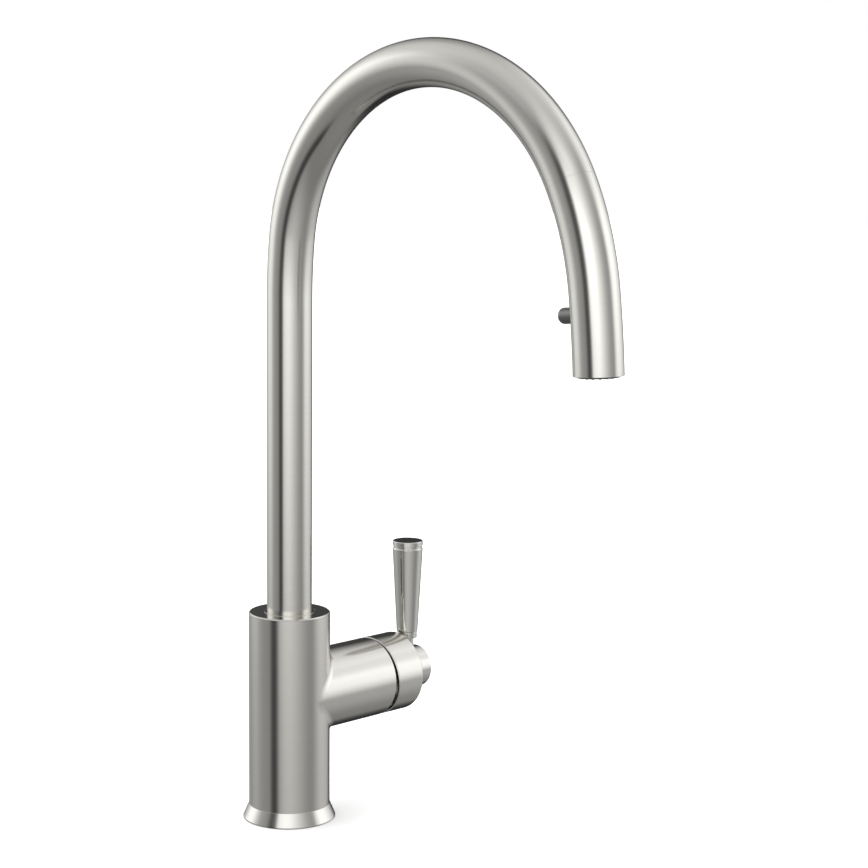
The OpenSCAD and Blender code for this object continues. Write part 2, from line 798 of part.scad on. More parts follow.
module spray_shell() {
    color("lightslategray") difference() {
        head_rod(tube_r, seam_gap, head_len);
        head_rod(shell_bore, -past, head_len - lip_len);
        at_station(head_len - lip_len - past) cylinder(r = lip_r, h = lip_len + 2 * past);
        at_button() cylinder(r = button_r + running, h = tube_d);
        at_station(head_len - rim_cut) difference() {
            cylinder(r = tube_r + past, h = rim_cut + past);
            cylinder(r1 = tube_r + rim_cut, r2 = tube_r - rim_cut, h = 2 * rim_cut);
        }
    }
}

module dock_neck() {
    color("dimgray") at_seam() difference() {
        union() {
            translate([0, 0, -neck_len]) cylinder(r1 = neck_r - 0.6, r2 = neck_r, h = 3);
            translate([0, 0, 3 - neck_len]) cylinder(r = neck_r, h = neck_len - 3 + collar_len);
            translate([0, 0, seam_gap]) cylinder(r = shell_bore - open_gap, h = collar_len - seam_gap);
        }
        translate([0, 0, -neck_len - past]) cylinder(r = neck_bore_r, h = neck_len + collar_len + 2 * past);
    }
}

module hose_nut() {
    color("lightgray") at_seam() translate([0, 0, -nut_len]) difference() {
        cylinder(r1 = neck_bore_r - 1, r2 = neck_bore_r - running, h = nut_len);
        translate([0, 0, -past]) cylinder(r = hose_r + 2 * slip, h = nut_len + 2 * past);
    }
}

module hose_washer() {
    color("black") at_seam() tube(neck_bore_r - 0.6, 3, washer_thin);
}

module check_valve() {
    color("white") at_seam() translate([0, 0, washer_thin]) difference() {
        cylinder(r = valve_r, h = valve_len);
        translate([0, 0, -past]) tube(3.4, 1.6, 3 + past);
    }
}

module waterway() {
    inlet_s = collar_len + 1;
    valve_end = washer_thin + valve_len;
    color("gray") difference() {
        union() {
            at_seam() translate([0, 0, washer_thin])
                cylinder(r = neck_bore_r - running, h = inlet_s + 1 - washer_thin);
            head_rod(waterway_r, inlet_s, waterway_end_s);
            at_station(head_len) translate([0, 0, -lip_len - gasket_thin - flange_t])
                cylinder(r = shell_bore - open_gap, h = flange_t);
        }
        at_seam() cylinder(r = valve_r + seated, h = valve_end);
        head_rod(waterway_bore / 2, valve_end - 1, waterway_end_s);
        at_station(head_len) translate([0, 0, -lip_len - gasket_thin - flange_t / 2 - slip])
            cylinder(r = waterway_bore / 2 + slip, h = flange_t);
        at_button() translate([0, 0, chamber[0]]) cylinder(r = chamber_r, h = chamber[1] - chamber[0]);
        at_button() translate([0, 0, chamber[0] - button_travel]) cylinder(r = plunger_r + running, h = tube_d);
        at_button() translate([0, 0, pocket_d]) cylinder(r = rim_r + open_gap, h = tube_d);
    }
}

module face_gasket() {
    color("black") at_station(head_len) translate([0, 0, -lip_len - gasket_thin])
        tube(lip_r - 0.4, lip_r - 2, gasket_thin);
}

// Children stand at each nozzle on the outlet's frame
module each_nozzle() {
    for (ring = nozzle_rings) for (i = [0 : ring[0] - 1])
        rotate([0, 0, 360 * i / ring[0]]) translate([ring[1], 0, 0]) children();
}

module spray_face() {
    color("black") at_station(head_len) difference() {
        translate([0, 0, -lip_len]) turned(face_d / 2, face_t, 0.5);
        translate([0, 0, -lip_len - past]) cylinder(r = aerator_r + running, h = face_t + 2 * past);
        each_nozzle() translate([0, 0, -lip_len - past]) cylinder(r = nozzle_r + running, h = face_t + 2 * past);
    }
}

module spray_nozzles() {
    color("darkslategray") at_station(head_len) each_nozzle() {
        translate([0, 0, -lip_len]) cylinder(r = nozzle_r, h = face_t);
        translate([0, 0, face_out]) cylinder(r1 = nozzle_r, r2 = nozzle_r * 0.8, h = nozzle_out);
    }
}

module aerator_housing() {
    color("black") at_station(head_len) translate([0, 0, -lip_len])
        tube(aerator_r, aerator_r - 1.4, face_t + aerator_out);
}

module aerator_screen() {
    color("gray") at_station(head_len) translate([0, 0, face_out - 1.2]) difference() {
        cylinder(r = aerator_r - 1.4 - seated, h = 1.2);
        for (x = [-2 : 2]) for (y = [-2 : 2])
            if (abs(x) + abs(y) < 4) translate([1.3 * x, 1.3 * y, -past]) cylinder(r = 0.42, h = 4);
    }
}

module spray_button() {
    reach = button_top - button_foot;
    color("dimgray") at_button() translate([0, 0, button_foot]) {
        cylinder(r = rim_r, h = rim_t);
        rotate_extrude() {
            square([button_r, reach - button_round]);
            square([button_r - button_round, reach]);
            intersection() {
                translate([button_r - button_round, reach - button_round]) circle(r = button_round);
                translate([button_r - button_round, reach - button_round]) square(button_round);
            }
        }
    }
}

module diverter_plunger() {
    color("white") at_button() translate([0, 0, -3])
        cylinder(r = plunger_r, h = button_foot + 3);
}

module diverter_seals() {
    color("black") at_button() for (d = [-1.6, 2.2])
        translate([0, 0, d]) seal(plunger_r + 0.75, 0.7);
}

module button_spring() {
    color("silver") at_button() translate([0, 0, pocket_d])
        coil(spring_r, spring_wire_r, button_foot - pocket_d, spring_turns);
}

base_flange();
deck_gasket();
valve_body();
mounting_shank();
rubber_washer();
steel_washer();
mounting_nut();
clamp_screws();
thrust_ring();
cartridge_base();
cartridge_base_seals();
cartridge_shell();
fixed_disc();
cartridge_nut();
gap_ring();
cartridge_rotor();
pivot_pin();
moving_disc();
drive_plate();
handle_spindle();
handle_hub();
end_knob();
hub_set_screw();
lever_stud();
lever_collar();
lever_grip();
lever_cap();
spout_tube();
spout_ferrule();
spout_seals();
spout_clip();
spout_glide_ring();
dock_guide();
spray_hose();
spray_shell();
dock_neck();
hose_nut();
hose_washer();
check_valve();
waterway();
face_gasket();
spray_face();
spray_nozzles();
aerator_housing();
aerator_screen();
spray_button();
diverter_plunger();
diverter_seals();
button_spring();
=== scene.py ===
"""Dresses the pull down kitchen faucet: fine visible surfaces, finishes, stage, lights and camera.

Everything is in metres in the faucet's own frame: the origin is the centre of the flange on the
deck, +Z is up, the spout leans out towards -Y and the arm with the handle points along +X.
"""

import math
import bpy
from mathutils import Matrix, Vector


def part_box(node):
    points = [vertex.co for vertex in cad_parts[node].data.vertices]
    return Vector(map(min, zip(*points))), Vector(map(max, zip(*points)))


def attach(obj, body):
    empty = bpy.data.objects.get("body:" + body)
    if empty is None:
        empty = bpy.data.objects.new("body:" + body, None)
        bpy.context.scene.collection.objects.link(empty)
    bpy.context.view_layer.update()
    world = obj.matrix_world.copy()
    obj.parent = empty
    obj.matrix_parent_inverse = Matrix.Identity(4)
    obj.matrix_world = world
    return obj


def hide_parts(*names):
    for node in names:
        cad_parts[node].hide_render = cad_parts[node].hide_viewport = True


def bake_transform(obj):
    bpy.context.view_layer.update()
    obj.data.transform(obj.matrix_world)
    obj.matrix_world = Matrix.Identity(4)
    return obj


bl_info = {
    "name": "Pull Down Kitchen Faucet",
    "version": (1, 0, 0),
    "blender": (4, 5, 0),
    "location": "3D View > Sidebar > Faucet",
    "description": "Builds the finished surfaces, stage and camera of a pull down kitchen faucet",
    "category": "Object",
}

import bpy
import numpy as np
from bpy.props import FloatProperty, FloatVectorProperty, PointerProperty
from mathutils import Matrix, Vector

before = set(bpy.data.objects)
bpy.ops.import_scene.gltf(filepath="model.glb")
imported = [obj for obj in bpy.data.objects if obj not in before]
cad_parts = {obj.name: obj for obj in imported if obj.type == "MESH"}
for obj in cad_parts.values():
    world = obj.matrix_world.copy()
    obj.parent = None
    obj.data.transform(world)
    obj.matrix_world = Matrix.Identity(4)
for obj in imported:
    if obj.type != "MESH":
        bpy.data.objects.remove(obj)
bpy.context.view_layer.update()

# ---- Sizes read from the frame ---------------------------------------------------------------

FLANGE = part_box("base_flange")
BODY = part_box("valve_body")
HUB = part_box("handle_hub")
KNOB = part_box("end_knob")
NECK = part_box("lever_stud")
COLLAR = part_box("lever_collar")
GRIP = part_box("lever_grip")
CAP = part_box("lever_cap")
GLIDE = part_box("spout_glide_ring")
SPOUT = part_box("spout_tube")
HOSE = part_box("spray_hose")
ARM_Z = (HUB[0].z + HUB[1].z) / 2
LEVER_X = (GRIP[0].x + GRIP[1].x) / 2
BODY_R = (HUB[1].y - HUB[0].y) / 2
TUBE_R = (SPOUT[1].x - SPOUT[0].x) / 2
SPOUT_BORE = (GLIDE[1].x - GLIDE[0].x) / 2 + 0.00005
COLUMN_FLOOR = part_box("thrust_ring")[0].z
SHELL_BORE = TUBE_R - 0.0014
SKIRT = 0.0035  # thickness of the column's foot, which the flange goes round


class FaucetSizes(bpy.types.PropertyGroup):
    """Sizes of the visible surfaces"""

    soft_edge: FloatProperty(
        name="Soft edge",
        description="Radius that breaks the sharp edges of the turned pieces",
        default=0.0004,
        min=0.0001,
        max=0.001,
        unit="LENGTH",
    )
    body_edge: FloatProperty(
        name="Body edge",
        description="Width of the chamfer round the top of the column and the end of the knob",
        default=0.0007,
        min=0.0003,
        max=0.001,
        unit="LENGTH",
    )
    rim: FloatProperty(
        name="Rim radius",
        description="Radius that rounds the arm's end and the hub's end",
        default=0.0012,
        min=0.0004,
        max=0.0016,
        unit="LENGTH",
    )
    crease: FloatProperty(
        name="Crease width",
        description="Width of the fillet where the arm runs into the column",
        default=0.0055,
        min=0.001,
        max=0.009,
        unit="LENGTH",
    )
    hose_draw: FloatProperty(
        name="Hose draw",
        description="Length of hose that comes out when the spray head is pulled",
        default=0.25,
        min=0.0,
        max=0.25,
        unit="LENGTH",
    )
    floor: FloatProperty(
        name="Floor size",
        description="Side of the pale floor",
        default=12.0,
        min=2.0,
        max=40.0,
        unit="LENGTH",
    )


class FaucetColours(bpy.types.PropertyGroup):
    """Colours of the finishes"""

    satin: FloatVectorProperty(
        name="Satin nickel",
        description="Colour of the satin body, spout and handle",
        subtype="COLOR",
        size=3,
        min=0.0,
        max=1.0,
        default=(0.60, 0.588, 0.555),
    )
    bright: FloatVectorProperty(
        name="Bright nickel",
        description="Colour of the brighter flange, knob and rings",
        subtype="COLOR",
        size=3,
        min=0.0,
        max=1.0,
        default=(0.60, 0.589, 0.558),
    )
    button: FloatVectorProperty(
        name="Button grey",
        description="Colour of the spray button",
        subtype="COLOR",
        size=3,
        min=0.0,
        max=1.0,
        default=(0.2, 0.2, 0.196),
    )
    floor: FloatVectorProperty(
        name="Floor",
        description="Colour of the floor",
        subtype="COLOR",
        size=3,
        min=0.0,
        max=1.0,
        default=(0.92, 0.92, 0.92),
    )


# ---- Shader maths ----------------------------------------------------------------------------


class Wire:
    """The output of a node. Arithmetic on wires adds Math nodes to the tree."""

    def __init__(self, graph, socket):
        self.graph = graph
        self.socket = socket

    def _math(self, operation, *values):
        return self.graph.add("ShaderNodeMath", {"operation": operation}, dict(enumerate(values)))

    def __add__(self, other):
        return self._math("ADD", self, other)

    def __radd__(self, other):
        return self._math("ADD", other, self)

    def __sub__(self, other):
        return self._math("SUBTRACT", self, other)

    def __rsub__(self, other):
        return self._math("SUBTRACT", other, self)

    def __mul__(self, other):
        return self._math("MULTIPLY", self, other)

    def __rmul__(self, other):
        return self._math("MULTIPLY", other, self)

    def __truediv__(self, other):
        return self._math("DIVIDE", self, other)

    def __rtruediv__(self, other):
        return self._math("DIVIDE", other, self)

    def at_least(self, other):
        return self._math("MAXIMUM", self, other)

    def sine(self):
        return self._math("SINE", self)

    def angle_to(self, other):
        """The angle of the point (other, self), from -pi to pi"""
        return self._math("ARCTAN2", self, other)

    def step(self, low, high):
        """Rises smoothly from 0 at low to 1 at high"""
        return self.graph.add(
            "ShaderNodeMapRange",
            {"interpolation_type": "SMOOTHSTEP"},
            {"Value": self, "From Min": low, "From Max": high},
            "Result",
        )


class Graph:
    """The node tree of a material or of the world"""

    def __init__(self, owner):
        owner.use_nodes = True
        self.tree = owner.node_tree
        self.tree.nodes.clear()

    def add(self, kind, settings=None, inputs=None, output=0):
        """Adds a node, gives it its settings, then the values or wires of its sockets"""
        node = self.tree.nodes.new(kind)
        for key, value in (settings or {}).items():
            if key == "stops":
                ramp = node.color_ramp
                while len(ramp.elements) < len(value):
                    ramp.elements.new(0.5)
                for element, (place, colour) in zip(ramp.elements, value):
                    element.position = place
                    element.color = (*colour, 1.0)
            else:
                setattr(node, key, value)
        for key, value in (inputs or {}).items():
            if isinstance(value, Wire):
                self.tree.links.new(value.socket, node.inputs[key])
            else:
                node.inputs[key].default_value = value
        return Wire(self, node.outputs[output]) if len(node.outputs) else None

    def stretch(self, vector, scale):
        """The vector with each of its parts scaled by itself"""
        return self.add(
            "ShaderNodeVectorMath", {"operation": "MULTIPLY"}, {0: vector, 1: scale}
        )

    def noise(self, vector, scale, detail=2.0, roughness=0.5):
        return self.add(
            "ShaderNodeTexNoise",
            {"noise_dimensions": "3D"},
            {"Vector": vector, "Scale": scale, "Detail": detail, "Roughness": roughness},
            "Fac",
        )

    def blend(self, factor, a, b):
        """A colour between a and b"""
        a = a if isinstance(a, Wire) else (*a[:3], 1.0)
        b = b if isinstance(b, Wire) else (*b[:3], 1.0)
        return self.add("ShaderNodeMix", {"data_type": "RGBA"}, {0: factor, 6: a, 7: b}, 2)

    def bump(self, height, strength, distance):
        return self.add(
            "ShaderNodeBump", {}, {"Height": height, "Strength": strength, "Distance": distance}
        )

    def surface(self, shader):
        self.add("ShaderNodeOutputMaterial", {}, {"Surface": shader})

    def principled(self, inputs):
        self.surface(self.add("ShaderNodeBsdfPrincipled", {}, inputs))


def built_once(build):
    """Makes a function that fills a graph into one that gives the material of a name. The
    material is built when it is first asked for."""

    def named(name, *settings):
        material = bpy.data.materials.get(name)
        if material is None:
            material = bpy.data.materials.new(name)
            build(Graph(material), *settings)
        return material

    return named


def place_of(graph, own):
    """Where a point is on its piece: the grain attribute of a made piece, or the CAD's own place"""
    if own:
        return graph.add("ShaderNodeAttribute", {"attribute_name": "grain"}, {}, "Vector")
    return graph.add("ShaderNodeTexCoord", {}, {}, "Object")


def tint(colour, factor):
    """A lighter or darker tone of a colour"""
    return tuple(min(1.0, c * factor) for c in colour[:3])


# How often the marks of the lathe repeat per metre, across and along a piece
FINE_MARKS = (90.0, 90.0, 3200.0)
BROAD_MARKS = (14.0, 14.0, 420.0)


@built_once
def turned_metal(graph, colour, roughness, marks, own=True):
    """Metal finished on a lathe: fine rings across the Z of its grain, with soft broad patches"""
    place = place_of(graph, own)
    rings = graph.noise(graph.stretch(place, FINE_MARKS), 1.0, 3.0, 0.6)
    bands = graph.noise(graph.stretch(place, BROAD_MARKS), 1.0, 2.0, 0.5)
    patch = graph.noise(place, 26.0, 2.0, 0.5)
    tone = rings * 0.45 + bands * 0.35 + patch * 0.2
    spread = 0.035 * marks
    unevenness = 0.05 * marks
    rough = roughness + (rings - 0.5) * unevenness + (patch - 0.5) * unevenness
    graph.principled(
        {
            "Base Color": graph.blend(
                tone.step(0.25, 0.75), tint(colour, 1.0 - spread), tint(colour, 1.0 + spread)
            ),
            "Metallic": 1.0,
            "Roughness": rough,
            "Normal": graph.bump(rings + bands * 0.5, 0.012 * marks, 0.0002),
        }
    )


@built_once
def moulded(graph, colour, roughness, speck=0.12, grain=900.0, depth=0.12):
    """Moulded plastic or rubber: a fine sparked grain and a slightly uneven sheen"""
    place = graph.add("ShaderNodeTexCoord", {}, {}, "Object")
    grains = graph.noise(place, grain, 2.0, 0.6)
    cloud = graph.noise(place, 60.0, 3.0, 0.5)
    tone = (grains * 0.5 + cloud * 0.5).step(0.3, 0.7)
    graph.principled(
        {
            "Base Color": graph.blend(tone, tint(colour, 1.0 - speck), tint(colour, 1.0 + speck)),
            "Roughness": roughness + (cloud - 0.5) * 0.16 + (grains - 0.5) * 0.08,
            "Normal": graph.bump(grains, depth, 0.0003),
        }
    )


@built_once
def ceramic(graph):
    """Fired alumina: dense, pale and faintly mottled"""
    place = graph.add("ShaderNodeTexCoord", {}, {}, "Object")
    mottle = graph.noise(place, 340.0, 4.0, 0.65)
    pits = graph.add(
        "ShaderNodeTexVoronoi", {"feature": "F1"}, {"Vector": place, "Scale": 900.0}, "Distance"
    )
    base = graph.blend(mottle.step(0.3, 0.7), (0.78, 0.76, 0.70), (0.90, 0.89, 0.85))
    graph.principled(
        {
            "Base Color": base,
            "Roughness": 0.28 + mottle * 0.12,
            "Normal": graph.bump(pits, 0.05, 0.0002),
        }
    )


@built_once
def braided(graph):
    """Grey braided hose: two sets of strands that cross over and under, with painted shade that
    darkens it where the strands sink low and a random tone along the fibres
    """
    wound = graph.add("ShaderNodeAttribute", {"attribute_name": "braid"}, {}, "Vector")
    strands, pitch = 12.0, 2200.0
    round_turn = graph.add("ShaderNodeSeparateXYZ", {}, {"Vector": wound}, "X")
    lengthwise = Wire(graph, round_turn.socket.node.outputs["Y"])
    right = (round_turn * strands + lengthwise * pitch).sine()
    left = (round_turn * strands - lengthwise * pitch).sine()
    over = right * left
    height = (right.at_least(left) + over * 0.5) * 0.5
    fibre = graph.noise(wound, 240.0, 2.0, 0.6)
    # painted shade: the colour darkens towards black where the weave sinks low, between and under
    # the crossing strands; the fibre noise adds a random tone
    painted_shade_and_fibre_tone = (height * 0.6 + fibre * 0.4 + 0.1).step(0.1, 0.8)
    base = graph.blend(painted_shade_and_fibre_tone, (0.045, 0.046, 0.048), (0.30, 0.30, 0.305))
    graph.principled(
        {
            "Base Color": base,
            "Roughness": 0.62 - height * 0.12,
            "Normal": graph.bump(height + fibre * 0.2, 0.6, 0.0003),
        }
    )


def finish(name):
    """The finish of a material slot, for a made piece"""
    colours = bpy.context.scene.faucet_colours
    if name == "satin_nickel":
        return turned_metal("satin nickel", colours.satin, 0.16, 0.5)
    if name == "bright_nickel":
        return turned_metal("bright nickel", colours.bright, 0.12, 0.4)
    if name == "black_plastic":
        return moulded("black plastic", (0.012, 0.012, 0.012), 0.38)
    if name == "dark_grey_plastic":
        return turned_metal("dark grey plastic", colours.button, 0.16, 0.6)
    if name == "hose_braid":
        return braided("hose braid")
    raise ValueError("no finish named " + name)


# ---- Surfaces of revolution, straight or along a bent line -----------------------------------


def rounded(outline, closed=False, steps=6):
    """Rounds the corners of an outline of (radius, height) or (radius, height, rounding). Gives
    rows of radius, height, normal, distance along the outline, and a flag where a sharp corner
    breaks it."""
    points = [np.array(p[:2], float) for p in outline]
    rounding = [p[2] if len(p) > 2 else 0.0 for p in outline]
    count = len(points)
    straight_on = 1e-4
    rows = []

    def unit(v):
        return v / np.linalg.norm(v)

    def out(d):
        return np.array([d[1], -d[0]])

    def put(p, n, new=False):
        rows.append([p[0], p[1], n[0], n[1], 0.0, 1.0 if new else 0.0])

    for i in range(count):
        before = points[i - 1] if i or closed else None
        after = points[(i + 1) % count] if i < count - 1 or closed else None
        here = points[i]
        if before is None:
            put(here, out(unit(after - here)), True)
            continue
        if after is None:
            put(here, out(unit(here - before)))
            continue
        d1 = unit(here - before)
        d2 = unit(after - here)
        turn = math.atan2(d1[0] * d2[1] - d1[1] * d2[0], float(d1 @ d2))
        radius = rounding[i]
        if radius <= 0 or abs(turn) < straight_on:
            put(here, out(d1), i == 0)
            if abs(turn) >= straight_on:
                put(here, out(d2), True)
            continue
        cut = radius * math.tan(abs(turn) / 2)
        side = 1.0 if turn > 0 else -1.0
        centre = here - d1 * cut - out(d1) * radius * side
        first = out(d1)
        for k in range(steps + 1):
            c, s = math.cos(turn * k / steps), math.sin(turn * k / steps)
            n = np.array([first[0] * c - first[1] * s, first[0] * s + first[1] * c])
            put(centre + n * radius * side, n, i == 0 and k == 0)
    if closed:
        rows.append([*rows[0][:5], 0.0])
    for i in range(1, len(rows)):
        gap = math.hypot(rows[i][0] - rows[i - 1][0], rows[i][1] - rows[i - 1][1])
        rows[i][4] = rows[i - 1][4] + gap
    return np.array(rows)


def divided(rows, step):
    """Adds rows, so that none is further than step from the next"""
    made = [rows[0]]
    for a, b in zip(rows[:-1], rows[1:]):
        gap = abs(b[4] - a[4])
        parts = 1 if b[5] else max(1, int(math.ceil(gap / step)))
        for k in range(1, parts + 1):
            f = k / parts
            row = a + (b - a) * f
            row[5] = b[5] if k == parts else 0.0
            length = math.hypot(row[2], row[3])
            row[2] /= length
            row[3] /= length
            made.append(row)
    return np.array(made)


# Vertices are one vertex where their places and normals are the same on these grids
PLACES_PER_METRE = 1e7
NORMAL_STEPS = 200


class Skin:
    """Collects patches of vertices with exact normals, and makes one mesh of them"""

    def __init__(self):
        self.points = []
        self.normals = []
        self.grain = []
        self.extra = []
        self.faces = []
        self.count = 0

    def patch(self, points, normals, grain, breaks=None, extra=None, flip=False):
        """A grid of rows x columns. breaks[i] leaves out the strip before row i."""
        rows, columns = points.shape[:2]
        self.points.append(points.reshape(-1, 3))
        self.normals.append(normals.reshape(-1, 3))
        self.grain.append(grain.reshape(-1, 3))
        self.extra.append(
            extra.reshape(-1, 3) if extra is not None else np.zeros((rows * columns, 3))
        )
        index = self.count + np.arange(rows * columns).reshape(rows, columns)
        for i in range(rows - 1):
            if breaks is not None and breaks[i + 1]:
                continue
            strip = np.stack(
                [index[i, :-1], index[i, 1:], index[i + 1, 1:], index[i + 1, :-1]], axis=1
            )
            self.faces.append(strip[:, ::-1] if flip else strip)
        self.count += rows * columns

    def make(self, name, material, slot, body, *replaced):
        """Merges like vertices, and makes the piece. It rides on one body, or, where body is the
        two bodies with the two places, is left free with its transform baked into its mesh."""
        parts = (self.points, self.normals, self.grain, self.extra)
        points, normals, grain, extra = (np.concatenate(part) for part in parts)
        merge = np.concatenate([points * PLACES_PER_METRE, normals * NORMAL_STEPS], axis=1)
        _, first, inverse = np.unique(
            np.round(merge).astype(np.int64), axis=0, return_index=True, return_inverse=True
        )
        inverse = inverse.reshape(-1)
        points, normals, grain, extra = points[first], normals[first], grain[first], extra[first]
        faces = []
        for face in inverse[np.concatenate(self.faces)]:
            kept = [v for k, v in enumerate(face) if v != face[k - 1]]
            if len(set(kept)) >= 3:
                faces.append(kept)
        mesh = bpy.data.meshes.new(name)
        mesh.from_pydata(points.tolist(), [], [list(map(int, f)) for f in faces])
        mesh.shade_smooth()
        for key, values in (("grain", grain), ("braid", extra)):
            if key == "grain" or extra.any():
                layer = mesh.attributes.new(key, "FLOAT_VECTOR", "POINT")
                layer.data.foreach_set("vector", values.astype(np.float32).ravel())
        lengths = np.linalg.norm(normals, axis=1, keepdims=True)
        mesh.normals_split_custom_set_from_vertices((normals / lengths).tolist())
        mesh.materials.append(material)
        piece = bpy.data.objects.new(name, mesh)
        bpy.context.scene.collection.objects.link(piece)
        if isinstance(body, str):
            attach(piece, body)
        else:
            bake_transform(piece)
        if replaced:
            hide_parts(*replaced)
        return piece


def upright(height):
    """The column's own axis"""
    return Vector((0, 0, height)), Vector((1, 0, 0)), Vector((0, 1, 0)), Vector((0, 0, 1))


def on_arm(x):
    """The arm's axis, pointing away from the column"""
    return Vector((x, 0, ARM_Z)), Vector((0, 1, 0)), Vector((0, 0, 1)), Vector((1, 0, 0))


def on_lever(z):
    """The lever's axis"""
    return Vector((LEVER_X, 0, z)), Vector((1, 0, 0)), Vector((0, 1, 0)), Vector((0, 0, 1))


# Centre line of the spout and spray head: a straight rise, then four arcs of radius and angle
RISE_TOP = 0.32715
BENDS = ((0.3305, 6.31), (0.1193, 146.3), (0.1735, 20.19), (0.6645, 3.84))
SEAM = RISE_TOP + sum(r * math.radians(a) for r, a in BENDS[:2])
OUTLET = SEAM + sum(r * math.radians(a) for r, a in BENDS[2:])


def centre_line(s):
    """Place and directions on the centre line, at distance s from the deck"""
    y, z, angle = 0.0, s, 0.0
    if s > RISE_TOP:
        left = s - RISE_TOP
        centre = np.array([-BENDS[0][0], RISE_TOP])
        for i, (radius, sweep) in enumerate(BENDS):
            turn = math.degrees(left / radius)
            last = i == len(BENDS) - 1
            if turn <= sweep or last:
                angle += turn
                spot = centre + radius * np.array(
                    [math.cos(math.radians(angle)), math.sin(math.radians(angle))]
                )
                y, z = spot
                break
            angle += sweep
            left -= radius * math.radians(sweep)
            centre = centre + (radius - BENDS[i + 1][0]) * np.array(
                [math.cos(math.radians(angle)), math.sin(math.radians(angle))]
            )
    a = math.radians(angle)
    return (
        Vector((0, y, z)),
        Vector((1, 0, 0)),
        Vector((0, math.cos(a), math.sin(a))),
        Vector((0, -math.sin(a), math.cos(a))),
    )


def spin(skin, rows, path, segments=160, slant=None, extra=None):
    """Turns an outline about a straight or bent path"""
    theta = np.linspace(0, 2 * math.pi, segments + 1)
    cosine, sine = np.cos(theta), np.sin(theta)
    cosine[-1], sine[-1] = cosine[0], sine[0]
    points = np.zeros((len(rows), segments + 1, 3))
    normals = np.zeros_like(points)
    grain = np.zeros_like(points)
    braid = np.zeros_like(points)
    widest = rows[:, 0].max()
    for i, (radius, height, nr, nz, walked, _) in enumerate(rows):
        origin, e1, e2, axis = (np.array(v) for v in path(height))
        around = cosine[:, None] * e1 + sine[:, None] * e2
        points[i] = origin + radius * around
        normals[i] = nr * around + nz * axis
        grain[i] = np.stack([cosine * widest, sine * widest, np.full_like(theta, walked)], 1)
        if slant is not None:
            points[i] += np.outer(slant(height, points[i]), axis)
        if extra is not None:
            braid[i] = np.stack([theta, np.full_like(theta, extra(height)), 0 * theta], 1)
    skin.patch(points, normals, grain, rows[:, 5], braid if extra is not None else None)


def turned(
    name, outline, path, slot, body, *replaced,
    closed=True, step=0.004, segments=160, corner=6, material=None, slant=None, extra=None,
):
    """A piece turned on a lathe, from an outline that runs up the outside: a closed one, or an
    open one that starts and ends on the axis"""
    skin = Skin()
    rows = divided(rounded(outline, closed, corner), step)
    spin(skin, rows, path, segments, slant, extra)
    return skin.make(name, material or finish(slot), slot, body, *replaced)


def straight(place, origin):
    """A path along a fixed axis, with heights counted from the given one"""
    start_point, e1, e2, axis = place(origin)

    def path(height):
        return start_point + axis * height, e1, e2, axis

    return path


# ---- Pieces ----------------------------------------------------------------------------------


class FAUCET_OT_flange(bpy.types.Operator):
    """Flange that covers the hole in the deck"""

    bl_idname = "faucet.flange"
    bl_label = "Flange"

    def execute(self, context):
        soft = context.scene.faucet_sizes.soft_edge
        foot = (FLANGE[1].x - FLANGE[0].x) / 2
        top = FLANGE[1].z
        lip = 0.0007
        inner = BODY_R - SKIRT
        outline = [
            (inner, 0, soft / 2),
            (foot, 0, soft / 2),
            (foot, lip, soft),
            (BODY_R + 0.0001, top, 0.0002),
            (inner, top, soft / 2),
        ]
        turned(
            "deck_flange", outline, upright, "bright_nickel", "body", "base_flange", step=0.001
        )
        return {"FINISHED"}


def together(x, y, z):
    """Points from their three parts, which are spread over one grid"""
    return np.stack(np.broadcast_arrays(x, y, z), axis=-1)


